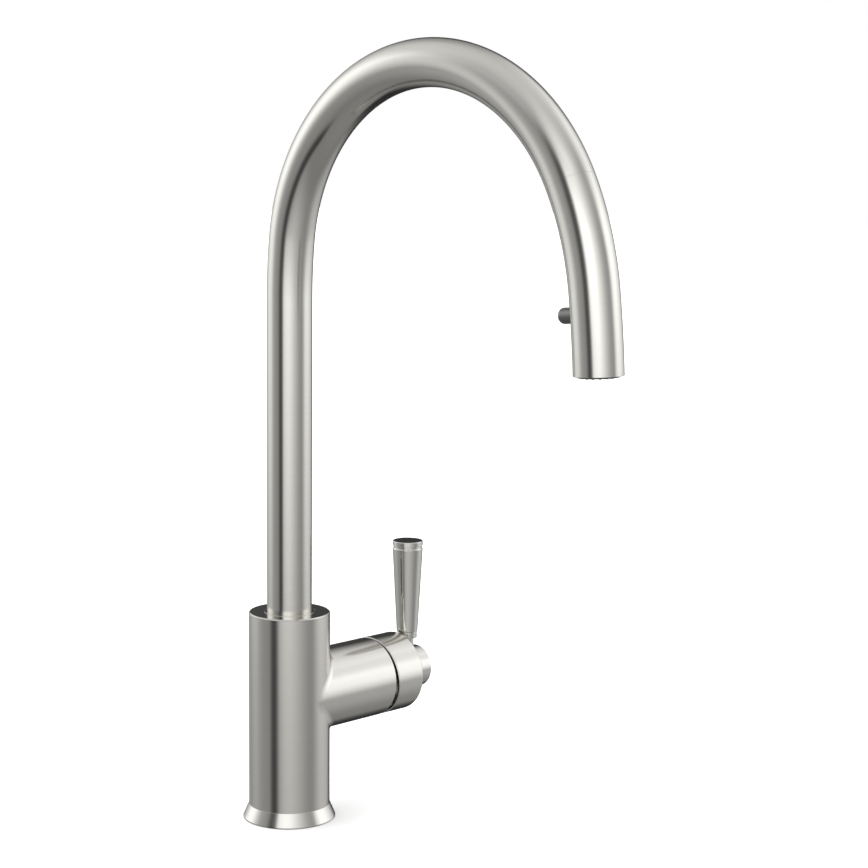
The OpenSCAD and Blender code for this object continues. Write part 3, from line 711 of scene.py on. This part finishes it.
def column_and_arm(scene):
    """The column with its arm. A ball rolls between the two equal cylinders: the fillet is the
    surface that it touches, and each cylinder stops where it does. The ball grows where the two
    walls lean together, so that the fillet keeps its width nearly all the way round."""
    sizes = scene.faucet_sizes
    edge = sizes.body_edge
    rim = sizes.rim
    crease = sizes.crease
    largest_ball = 0.05
    foot = FLANGE[1].z
    top = BODY[1].z
    arm_end = BODY[1].x
    half = 96
    wall_steps = 40
    fillet_steps = 14
    skin = Skin()
    theta = np.linspace(-math.pi, math.pi, 2 * half + 1)
    cosine, sine = np.cos(theta), np.sin(theta)
    cosine[-1], sine[-1] = cosine[0], sine[0]
    cosine[np.abs(cosine) < 1e-12] = 0.0
    front = slice(half // 2, half // 2 + half + 1)
    between = np.arccos(np.clip(sine**2, -1.0, 1.0))
    ball = crease / np.maximum(between, crease / largest_ball)
    reach = BODY_R + ball
    start_up = reach * np.maximum(cosine, 0.0)

    def wall(place, low, high, grain_start, flip=False):
        share = np.linspace(0, 1, wall_steps + 1)[:, None]
        height = low[None, :] * (1 - share) + high * share
        points, normals = place(height)
        grain = together(BODY_R * cosine, BODY_R * sine, grain_start + height)
        skin.patch(points, normals, grain, flip=flip)

    def on_column(height):
        around = together(cosine, sine, np.zeros_like(height))
        points = BODY_R * around
        points[:, :, 2] = ARM_Z + height
        return points, around

    def on_the_arm(x):
        around = together(np.zeros_like(x), sine, cosine)
        points = BODY_R * around
        points[:, :, 2] += ARM_Z
        points[:, :, 0] = x
        return points, around

    wall(on_column, start_up, top - edge - ARM_Z, 0.0)
    wall(on_column, -start_up, foot - ARM_Z, 0.0, flip=True)
    wall(on_the_arm, reach * np.abs(cosine), arm_end - rim, 0.2, flip=True)

    # The fillet, above and below the arm: from the column's direction a to the arm's direction b
    t = np.linspace(-math.pi / 2, math.pi / 2, half + 1)
    ct, st = np.cos(t), np.sin(t)
    ct[0] = ct[-1] = 0.0
    for side in (1.0, -1.0):
        centre = reach[front, None] * together(ct, st, side * ct)
        a = together(ct, st, 0 * t)
        b = together(0 * t, st, side * ct)
        opening = np.arccos(np.clip((a * b).sum(1), -1, 1))
        apart = opening > 1e-6
        safe = np.where(apart, np.sin(opening), 1.0)
        points = np.zeros((fillet_steps + 1, half + 1, 3))
        normals = np.zeros_like(points)
        for i in range(fillet_steps + 1):
            k = i / fillet_steps
            wa = np.where(apart, np.sin((1 - k) * opening) / safe, 1 - k)
            wb = np.where(apart, np.sin(k * opening) / safe, k)
            inwards = wa[:, None] * a + wb[:, None] * b
            inwards /= np.linalg.norm(inwards, axis=1, keepdims=True)
            points[i] = centre - ball[front, None] * inwards
            normals[i] = inwards
        points[:, :, 2] += ARM_Z
        grain = together(BODY_R * ct, BODY_R * st, 0.1 + points[:, :, 2])
        skin.patch(points, normals, grain, flip=side > 0)

    # The column's top, the bore for the spout, the hose's way down and the foot's hollow. The
    # first row has the wall's direction and meets the wall's upper end.
    hose_way = 0.0051
    shank_bore, shank_stop, shank_end = 0.01627, 0.018, 0.002
    edge_rows = rounded(
        [
            (BODY_R, top - edge - 0.0001),
            (BODY_R, top - edge, 0.0002),
            (BODY_R - edge, top, 0.0002),
            (SPOUT_BORE + 0.0002, top, 0.0001),
            (SPOUT_BORE, top - 0.0002, 0.0001),
            (SPOUT_BORE, COLUMN_FLOOR),
            (hose_way, COLUMN_FLOOR),
            (hose_way, shank_stop),
            (shank_bore, shank_stop),
            (shank_bore, shank_end),
            (BODY_R - SKIRT, shank_end),
            (BODY_R - SKIRT, foot),
            (BODY_R, foot),
        ]
    )
    edge_rows[0, 1] = top - edge
    spin(skin, edge_rows, upright, 2 * half)

    # The arm's end, with the bores for the cartridge's nut and the cartridge. The first row is
    # only there to give the rim its direction.
    nut_bore, nut_end = 0.0195, 0.060
    cartridge_bore, seat = 0.0178, 0.032
    arm_rows = rounded(
        [
            (BODY_R, arm_end - rim - 0.0001),
            (BODY_R, arm_end, rim),
            (nut_bore, arm_end, 0.0002),
            (nut_bore, nut_end),
            (cartridge_bore, nut_end),
            (cartridge_bore, seat),
            (0.0, seat),
        ]
    )
    spin(skin, arm_rows[1:], on_arm, 2 * half)
    skin.make("column_and_arm", finish("satin_nickel"), "satin_nickel", "body", "valve_body")


class FAUCET_OT_valve_body(bpy.types.Operator):
    """Column with the arm that holds the cartridge"""

    bl_idname = "faucet.valve_body"
    bl_label = "Valve body"

    def execute(self, context):
        column_and_arm(context.scene)
        return {"FINISHED"}


class FAUCET_OT_spout(bpy.types.Operator):
    """Gooseneck tube and the glide ring that it turns on"""

    bl_idname = "faucet.spout"
    bl_label = "Spout"

    def execute(self, context):
        soft = context.scene.faucet_sizes.soft_edge
        wall = TUBE_R - 0.0015
        foot = SPOUT[0].z
        outline = [
            (TUBE_R, foot, soft / 2),
            (TUBE_R, SEAM, 0.00002),
            (wall, SEAM, 0.0002),
            (wall, foot, soft / 2),
        ]
        turned(
            "gooseneck", outline, centre_line, "satin_nickel", "spout", "spout_tube", step=0.0025
        )
        low, high = GLIDE
        outer = (high.x - low.x) / 2
        inner = TUBE_R + 0.00002
        ring = [
            (outer, low.z, 0.0002),
            (outer, high.z, 0.0002),
            (inner, high.z, 0.0001),
            (inner, low.z, 0.0002),
        ]
        turned("glide_ring", ring, upright, "satin_nickel", "spout", "spout_glide_ring")
        return {"FINISHED"}


class FAUCET_OT_hose(bpy.types.Operator):
    """Braided hose inside the spout, with the length that is drawn out behind the spray head"""

    bl_idname = "faucet.hose"
    bl_label = "Spray hose"

    def execute(self, context):
        draw = context.scene.faucet_sizes.hose_draw
        radius = (HOSE[1].x - HOSE[0].x) / 2
        foot = HOSE[0].z
        end = SEAM - 0.0003
        joint = SEAM - 0.018
        bend = SEAM - 0.015

        still = [(radius, foot, 0.0005), (radius, joint), (0.0, joint), (0.0, foot)]
        turned(
            "hose_in_spout", still, centre_line, "hose_braid", "spout", "spray_hose",
            step=0.003, segments=64, extra=lambda s: s,
        )

        start_point, seam_point = centre_line(bend)[0], centre_line(SEAM)[0]
        chord = seam_point - start_point

        def drawn(s):
            spot = centre_line(s)[0]
            t = min(1.0, max(0.0, (spot - start_point).dot(chord) / chord.length_squared))
            return s + draw * t * t * (3 - 2 * t)

        moving = [(radius, joint), (radius, end, 0.0005), (0.0, end), (0.0, joint)]
        turned(
            "hose_drawn_out", moving, centre_line, "hose_braid",
            ("spout", "spray_head", start_point, seam_point), "spray_hose",
            step=0.00015, segments=64, extra=drawn,
        )
        return {"FINISHED"}


class FAUCET_OT_spray_head(bpy.types.Operator):
    """Spray head shell, the neck that docks in the spout, and the black spray face"""

    bl_idname = "faucet.spray_head"
    bl_label = "Spray head"

    def execute(self, context):
        begin = SEAM + 0.00004
        lip = 0.006
        lip_r = 0.01165
        shell = [
            (SHELL_BORE, begin, 0.0002),
            (TUBE_R, begin, 0.00002),
            (TUBE_R, OUTLET, 0.0004),
            (lip_r, OUTLET, 0.0001),
            (lip_r, OUTLET - lip, 0.0001),
            (SHELL_BORE, OUTLET - lip, 0.0001),
        ]
        turned(
            "spray_head_shell", shell, centre_line, "satin_nickel", "spray_head", "spray_shell",
            step=0.0025,
        )
        # The face and the aerator in its middle: piece, node, bore, radius, how far it stands out
        # of the shell, and the radius of its rounded edge
        rings = (
            ("spray_face_plate", "spray_face", 0.00555, 0.0116, 0.0008, 0.0004),
            ("aerator", "aerator_housing", 0.0041, 0.0055, 0.0013, 0.0003),
        )
        at_outlet = straight(centre_line, OUTLET)
        for piece, node, bore, radius, proud, edge in rings:
            outline = [
                (bore, -lip, 0.0002),
                (radius, -lip, 0.0002),
                (radius, proud, edge),
                (bore, proud, 0.0002),
            ]
            turned(piece, outline, at_outlet, "black_plastic", "spray_head", node, step=0.001)
        neck_r, bore, flange_r = 0.0102, 0.0068, SHELL_BORE - 0.0003
        top, shoulder, foot = -0.015, -0.012, 0.006
        neck = [
            (bore, top, 0.0002),
            (neck_r - 0.0006, top, 0.0003),
            (neck_r, shoulder, 0.0006),
            (neck_r, 0.0002),
            (flange_r, 0.0002, 0.0002),
            (flange_r, foot, 0.0002),
            (bore, foot, 0.0002),
        ]
        turned(
            "docking_neck", neck, straight(centre_line, SEAM), "black_plastic", "spray_head",
            "dock_neck", step=0.001,
        )
        return {"FINISHED"}


class FAUCET_OT_spray_button(bpy.types.Operator):
    """Button on the inner side of the spray head"""

    bl_idname = "faucet.spray_button"
    bl_label = "Spray button"

    def execute(self, context):
        above_outlet = 0.0332
        origin, across, inwards, _ = centre_line(OUTLET - above_outlet)
        out = -Vector(inwards)
        rim_r = 0.0053
        rim_t = 0.0012
        foot = math.sqrt(SHELL_BORE**2 - rim_r**2) - 0.00025 - rim_t
        top = TUBE_R + 0.011
        radius = 0.0045

        def path(height):
            return origin + out * height, across, out.cross(across), out

        outline = [
            (0.0, foot),
            (rim_r, foot, 0.0002),
            (rim_r, foot + rim_t, 0.0002),
            (radius, foot + rim_t),
            (radius, top, 0.0028),
            (0.0, top),
        ]
        turned(
            "button_body", outline, path, "dark_grey_plastic", "button", "spray_button",
            closed=False, step=0.001, segments=96, corner=14,
        )
        return {"FINISHED"}


class FAUCET_OT_handle_hub(bpy.types.Operator):
    """Hub that turns on the arm's end, with the wedge gap that lets it tilt"""

    bl_idname = "faucet.handle_hub"
    bl_label = "Handle hub"

    def execute(self, context):
        rim = context.scene.faucet_sizes.rim
        end = HUB[1].x
        arm_end = BODY[1].x
        gap_top, gap_bottom = 0.0004, 0.004
        middle = arm_end + (gap_top + gap_bottom) / 2
        lean = (gap_bottom - gap_top) / (2 * BODY_R)
        bore = BODY_R - 0.0018
        hollow = end - 0.004
        boss_r, boss_x = 0.009, arm_end + 0.007
        fade = 0.006

        def slant(x, points):
            weight = max(0.0, min(1.0, 1 - (x - middle) / fade))
            return -(points[:, 2] - ARM_Z) * lean * weight

        outline = [
            (0.0, boss_x),
            (boss_r, boss_x, 0.0003),
            (boss_r, hollow, 0.0005),
            (bore, hollow, 0.0005),
            (bore, middle, 0.0002),
            (BODY_R, middle, 0.0006),
            (BODY_R, end, rim),
            (0.0, end),
        ]
        turned(
            "hub_shell", outline, on_arm, "satin_nickel", "handle", "handle_hub",
            closed=False, step=0.0015, segments=192, slant=slant,
        )
        return {"FINISHED"}


class FAUCET_OT_end_knob(bpy.types.Operator):
    """Knob on the hub's end, which carries the lever"""

    bl_idname = "faucet.end_knob"
    bl_label = "End knob"

    def execute(self, context):
        edge = context.scene.faucet_sizes.body_edge
        radius = (KNOB[1].y - KNOB[0].y) / 2
        low, high = HUB[1].x, KNOB[1].x
        outline = [
            (0.0, low),
            (radius, low, 0.0002),
            (radius, high - edge, 0.0003),
            (radius - edge, high, 0.0003),
            (0.0, high),
        ]
        turned(
            "knob_body", outline, on_arm, "bright_nickel", "handle", "end_knob",
            closed=False, step=0.0015,
        )
        return {"FINISHED"}


class FAUCET_OT_lever(bpy.types.Operator):
    """Lever: neck, grooved collar, tapered grip and cap"""

    bl_idname = "faucet.lever"
    bl_label = "Lever"

    def execute(self, context):
        colour = context.scene.faucet_colours.satin
        polished = turned_metal("polished nickel", colour, 0.08, 0.3)
        neck_r = (NECK[1].x - NECK[0].x) / 2
        neck_foot = KNOB[1].z - 0.0035
        low, high = COLLAR[0].z, COLLAR[1].z
        stud_r = 0.003
        neck = [
            (0.0, NECK[0].z),
            (stud_r, NECK[0].z, 0.0002),
            (stud_r, neck_foot),
            (neck_r, neck_foot),
            (neck_r, low),
            (stud_r, low),
            (stud_r, NECK[1].z, 0.0002),
            (0.0, NECK[1].z),
        ]
        turned(
            "lever_neck", neck, on_lever, "bright_nickel", "handle", "lever_stud",
            closed=False, step=0.001, segments=96,
        )

        outer = (COLLAR[1].x - COLLAR[0].x) / 2
        middle = (low + high) / 2
        half_groove, depth = 0.0003, 0.0004
        ring = [
            (stud_r, low),
            (outer, low, 0.0003),
            (outer, middle - half_groove, 0.00012),
            (outer - depth, middle - half_groove, 0.0001),
            (outer - depth, middle + half_groove, 0.0001),
            (outer, middle + half_groove, 0.00012),
            (outer, high, 0.0003),
            (stud_r, high),
        ]
        turned(
            "collar_ring", ring, on_lever, "bright_nickel", "handle", "lever_collar",
            step=0.001, segments=128,
        )

        low, high = GRIP[0].z, GRIP[1].z
        foot_r, top_r, groove = 0.0069, (GRIP[1].x - GRIP[0].x) / 2, 0.0006
        grip = [
            (0.0, low),
            (foot_r - 0.0004, low, 0.0001),
            (foot_r, low + 0.0004, 0.0003),
            (top_r, high - 0.0008, 0.0003),
            (top_r - groove, high, 0.0001),
            (0.0, high),
        ]
        turned(
            "grip_body", grip, on_lever, "satin_nickel", "handle", "lever_grip",
            closed=False, step=0.0015, segments=144, material=polished,
        )

        bottom, top = GRIP[1].z, CAP[1].z
        cap_r = (CAP[1].x - CAP[0].x) / 2
        cap_foot = bottom + 0.0015
        cap = [
            (0.0, bottom),
            (cap_r - groove, bottom),
            (cap_r - groove, cap_foot, 0.0001),
            (cap_r, cap_foot, 0.00015),
            (cap_r, top - 0.0004, 0.0002),
            (cap_r - 0.0004, top, 0.0002),
            (0.0, top),
        ]
        turned(
            "cap_disc", cap, on_lever, "satin_nickel", "handle", "lever_cap",
            closed=False, step=0.001, segments=144, material=polished,
        )
        return {"FINISHED"}


# Finish of each CAD node that stays as it is
CARRIED = {
    "brass": ["mounting_shank", "mounting_nut", "cartridge_nut", "spout_ferrule"],
    "plain steel": [
        "steel_washer", "clamp_screws", "pivot_pin", "handle_spindle", "spout_clip", "hose_nut",
        "button_spring", "aerator_screen", "hub_set_screw",
    ],
    "black rubber": [
        "deck_gasket", "cartridge_base_seals", "spout_seals", "hose_washer", "face_gasket",
        "diverter_seals",
    ],
    "grey rubber": ["rubber_washer", "spray_nozzles"],
    "white plastic": [
        "thrust_ring", "cartridge_shell", "cartridge_rotor", "drive_plate", "check_valve",
        "diverter_plunger", "cartridge_base", "gap_ring",
    ],
    "grey plastic": ["dock_guide", "waterway"],
    "ceramic": ["fixed_disc", "moving_disc"],
}


class FAUCET_OT_inner_parts(bpy.types.Operator):
    """Finishes of the pieces inside the faucet and under the deck"""

    bl_idname = "faucet.inner_parts"
    bl_label = "Inner parts"

    def execute(self, context):
        finishes = {
            "brass": turned_metal("brass", (0.72, 0.50, 0.22), 0.30, 1.5, False),
            "plain steel": turned_metal("plain steel", (0.56, 0.56, 0.55), 0.33, 1.4, False),
            "black rubber": moulded("black rubber", (0.02, 0.02, 0.02), 0.62, 0.2, 1400.0, 0.2),
            "grey rubber": moulded("grey rubber", (0.06, 0.06, 0.062), 0.58, 0.15, 1200.0, 0.2),
            "white plastic": moulded("white plastic", (0.78, 0.77, 0.74), 0.4, 0.05),
            "grey plastic": moulded("grey plastic", (0.10, 0.10, 0.105), 0.45, 0.12),
            "ceramic": ceramic("ceramic"),
        }
        for kind, names in CARRIED.items():
            for name in names:
                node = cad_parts[name]
                for holder in node.material_slots:
                    holder.material = finishes[kind]
        return {"FINISHED"}


# ---- Stage -----------------------------------------------------------------------------------

# The camera: which way it looks, how far down, how far it leans, where it stands and its lens
CAMERA_YAW = math.radians(45.439)
CAMERA_PITCH = math.radians(8.461)
CAMERA_ROLL = math.radians(-0.571)
CAMERA_PLACE = Vector((-0.90852, -1.01992, 0.44743))
CAMERA_LENS = 92.58
CAMERA_RIGHT = Vector((math.cos(CAMERA_YAW), -math.sin(CAMERA_YAW), 0))
SENSOR_WIDTH = 36.0

FLOOR_GAP = 0.0002  # keeps the floor clear of the flange's underside

# The soft daylight that lays the shadow on the floor
DAYLIGHT_STRENGTH = 3.3
DAYLIGHT_SPREAD = math.radians(70)
DAYLIGHT_TILT = (math.radians(-18), math.radians(12), 0)

# Soft boxes round the studio, near the floor, at eye level and high up: turn from the camera in
# degrees, brightness
LOW = (
    (-180, 0.40), (-165, 0.44), (-150, 0.42), (-138, 0.37), (-126, 0.45), (-114, 0.53),
    (-102, 0.54), (-90, 0.46), (-78, 0.40), (-66, 0.37), (-48, 0.36), (-38, 0.36), (-30, 0.38),
    (-24, 0.46), (-17, 0.58), (-8, 0.68), (6, 0.72), (18, 0.67), (30, 0.60), (42, 0.51),
    (54, 0.42), (66, 0.37), (74, 0.38), (84, 0.48), (96, 0.65), (108, 0.73), (122, 0.70),
    (134, 0.62), (150, 0.48), (165, 0.40), (180, 0.40),
)
MIDDLE = (
    (-180, 0.5), (-164, 0.6), (-152, 0.72), (-141, 1.0), (-128, 1.55), (-114, 1.75),
    (-102, 1.55), (-91, 1.0), (-80, 0.58), (-68, 0.46), (-60, 0.40), (-54, 0.28), (-46, 0.3),
    (-36, 0.8), (-31, 1.5), (-22, 1.78), (-8, 1.95), (6, 1.85), (18, 1.45), (30, 1.07),
    (42, 0.77), (54, 0.54), (66, 0.45), (73, 0.58), (82, 1.28), (92, 1.75), (104, 1.75),
    (114, 1.58), (126, 1.28), (140, 0.92), (155, 0.8), (180, 0.5),
)
HIGH = (
    (-180, 0.45), (-162, 0.50), (-150, 0.68), (-138, 0.86), (-120, 0.95), (-102, 0.96),
    (-90, 0.85), (-78, 0.69), (-60, 0.64), (-44, 0.60), (-36, 0.7), (-28, 0.92), (-18, 1.16),
    (-6, 1.32), (6, 1.32), (18, 1.16), (30, 0.95), (42, 0.76), (54, 0.62), (66, 0.56),
    (76, 0.66), (86, 0.9), (96, 1.12), (108, 1.3), (118, 1.38), (128, 1.3), (140, 1.16),
    (150, 1.03), (162, 0.8), (172, 0.55), (180, 0.45),
)
# Share of the light that the tall black flags let through, by the same turn
FLAGS = (
    (-180, 0.1), (-175, 0.14), (-169, 0.4), (-160, 0.8), (-150, 1.0), (-55, 1.0), (-49, 0.5),
    (-44, 0.19), (-34, 0.19), (-29, 0.6), (-25, 1.0), (140, 1.0), (150, 0.6), (158, 0.3),
    (166, 0.12), (180, 0.1),
)
# By elevation in degrees: the share of the middle boxes over the low ones, of the high ones over
# both, how strongly boxes show, how strongly flags show, and the light of floor and ceiling
MIDDLE_SHARE = (
    (-18, 0.0), (-15, 0.05), (-12, 0.2), (-9.5, 0.37), (-5, 0.62), (0, 0.82), (4, 0.97), (8, 1.0),
)
HIGH_SHARE = ((22, 0.0), (30, 0.62), (38, 1.0))
SHOWS = (
    (-56, 0.0), (-48, 0.08), (-40, 0.33), (-30, 0.72), (-21, 1.0), (45, 1.0), (52, 0.6),
    (60, 0.3), (72, 0.1), (85, 0.0),
)
FLAGS_SHOW = ((-60, 0.0), (-52, 1.0), (24, 1.0), (40, 0.0))
BETWEEN = ((-90, 0.33), (-50, 0.29), (-20, 0.33), (20, 0.6), (45, 0.84), (90, 0.85))


def studio_world(scene):
    """Soft boxes and tall black flags round the faucet; the camera itself sees plain white"""
    world = bpy.data.worlds.new("studio")
    scene.world = world
    graph = Graph(world)
    direction = graph.add("ShaderNodeTexCoord", {}, {}, "Generated")
    towards = Vector((-math.sin(CAMERA_YAW), -math.cos(CAMERA_YAW), 0))

    def along(v):
        return graph.add(
            "ShaderNodeVectorMath", {"operation": "DOT_PRODUCT"}, {0: direction, 1: v}, "Value"
        )

    turn = along(CAMERA_RIGHT).angle_to(along(towards)) / (2 * math.pi) + 0.5
    rise = along(Vector((0, 0, 1))) * 0.5 + 0.5

    # A ramp holds values up to 1, so each table goes in halved and is doubled where it is used
    def ramp(table, share, place):
        stops = [(share(angle), (value / 2,) * 3) for angle, value in table]
        return graph.add("ShaderNodeValToRGB", {"stops": stops}, {"Fac": place}, "Color")

    def by_turn(table):
        return ramp(table, lambda angle: (angle + 180) / 360, turn)

    def by_rise(table):
        return ramp(table, lambda angle: 0.5 + 0.5 * math.sin(math.radians(angle)), rise)

    boxes = graph.blend(by_rise(MIDDLE_SHARE) * 2.0, by_turn(LOW), by_turn(MIDDLE))
    boxes = graph.blend(by_rise(HIGH_SHARE) * 2.0, boxes, by_turn(HIGH))
    boxes = graph.blend(by_rise(SHOWS) * 2.0, by_rise(BETWEEN), boxes)
    dark = 1.0 - by_rise(FLAGS_SHOW) * 2.0 * (1.0 - by_turn(FLAGS) * 2.0)
    lit = graph.add("ShaderNodeBackground", {}, {"Color": boxes, "Strength": dark * 2.0})
    plain = graph.add("ShaderNodeBackground", {}, {"Color": (1, 1, 1, 1), "Strength": 1.0})
    seen = graph.add("ShaderNodeLightPath", {}, {}, "Is Camera Ray")
    mixed = graph.add("ShaderNodeMixShader", {}, {0: seen, 1: lit, 2: plain})
    graph.add("ShaderNodeOutputWorld", {}, {"Surface": mixed})


@built_once
def pale_floor(graph, colour):
    """Pale matt floor, which the nickel doesn't mirror"""
    place = graph.add("ShaderNodeTexCoord", {}, {}, "Object")
    mottle = graph.noise(place, 3.0, 3.0, 0.5)
    base = graph.blend(mottle, tint(colour, 0.995), tint(colour, 1.005))
    matt = graph.add("ShaderNodeBsdfPrincipled", {}, {"Base Color": base, "Roughness": 0.9})
    clear = graph.add("ShaderNodeBsdfTransparent")
    mirrored = graph.add("ShaderNodeLightPath", {}, {}, "Is Glossy Ray")
    graph.surface(graph.add("ShaderNodeMixShader", {}, {0: mirrored, 1: matt, 2: clear}))


class FAUCET_OT_stage(bpy.types.Operator):
    """Pale floor, soft studio light and the camera"""

    bl_idname = "faucet.stage"
    bl_label = "Stage"

    def execute(self, context):
        scene = context.scene
        half = scene.faucet_sizes.floor / 2
        mesh = bpy.data.meshes.new("floor")
        mesh.from_pydata(
            [(-half, -half, 0), (half, -half, 0), (half, half, 0), (-half, half, 0)],
            [],
            [(0, 1, 2, 3)],
        )
        mesh.materials.append(pale_floor("pale floor", scene.faucet_colours.floor))
        floor = bpy.data.objects.new("floor", mesh)
        floor.location = (0, 0, -FLOOR_GAP)
        scene.collection.objects.link(floor)

        studio_world(scene)
        light = bpy.data.lights.new("soft daylight", "SUN")
        light.energy = DAYLIGHT_STRENGTH
        light.angle = DAYLIGHT_SPREAD
        lamp = bpy.data.objects.new("soft daylight", light)
        lamp.rotation_euler = DAYLIGHT_TILT
        lamp.visible_glossy = False
        scene.collection.objects.link(lamp)

        camera = bpy.data.cameras.new("camera")
        camera.lens = CAMERA_LENS
        camera.sensor_width = SENSOR_WIDTH
        camera.clip_start = 0.05
        camera.clip_end = 60.0
        forward = Vector(
            (
                math.sin(CAMERA_YAW) * math.cos(CAMERA_PITCH),
                math.cos(CAMERA_YAW) * math.cos(CAMERA_PITCH),
                -math.sin(CAMERA_PITCH),
            )
        )
        level_up = CAMERA_RIGHT.cross(forward)
        c, s = math.cos(CAMERA_ROLL), math.sin(CAMERA_ROLL)
        right = CAMERA_RIGHT * c - level_up * s
        up = CAMERA_RIGHT * s + level_up * c
        eye = bpy.data.objects.new("camera", camera)
        turned_to = Matrix((right, up, -forward)).transposed()
        eye.matrix_world = Matrix.Translation(CAMERA_PLACE) @ turned_to.to_4x4()
        scene.collection.objects.link(eye)
        scene.camera = eye
        scene.view_settings.view_transform = "Standard"
        return {"FINISHED"}


class FAUCET_PT_panel(bpy.types.Panel):
    """Lists the faucet's pieces and sizes"""

    bl_idname = "FAUCET_PT_panel"
    bl_label = "Pull Down Kitchen Faucet"
    bl_space_type = "VIEW_3D"
    bl_region_type = "UI"
    bl_category = "Faucet"

    def draw(self, context):
        layout = self.layout
        for group in (context.scene.faucet_sizes, context.scene.faucet_colours):
            box = layout.box()
            for key in group.__annotations__:
                box.prop(group, key)
        column = layout.column(align=True)
        for operator in OPERATORS:
            column.operator(operator.bl_idname)


OPERATORS = (
    FAUCET_OT_stage,
    FAUCET_OT_inner_parts,
    FAUCET_OT_flange,
    FAUCET_OT_valve_body,
    FAUCET_OT_spout,
    FAUCET_OT_hose,
    FAUCET_OT_spray_head,
    FAUCET_OT_spray_button,
    FAUCET_OT_handle_hub,
    FAUCET_OT_end_knob,
    FAUCET_OT_lever,
)
CLASSES = (FaucetSizes, FaucetColours, *OPERATORS, FAUCET_PT_panel)


def register():
    for kind in CLASSES:
        bpy.utils.register_class(kind)
    bpy.types.Scene.faucet_sizes = PointerProperty(type=FaucetSizes)
    bpy.types.Scene.faucet_colours = PointerProperty(type=FaucetColours)


def unregister():
    del bpy.types.Scene.faucet_colours
    del bpy.types.Scene.faucet_sizes
    for kind in reversed(CLASSES):
        bpy.utils.unregister_class(kind)


def main():
    register()
    for operator in OPERATORS:
        group, name = operator.bl_idname.split(".")
        getattr(getattr(bpy.ops, group), name)()


if __name__ == "__main__":
    main()
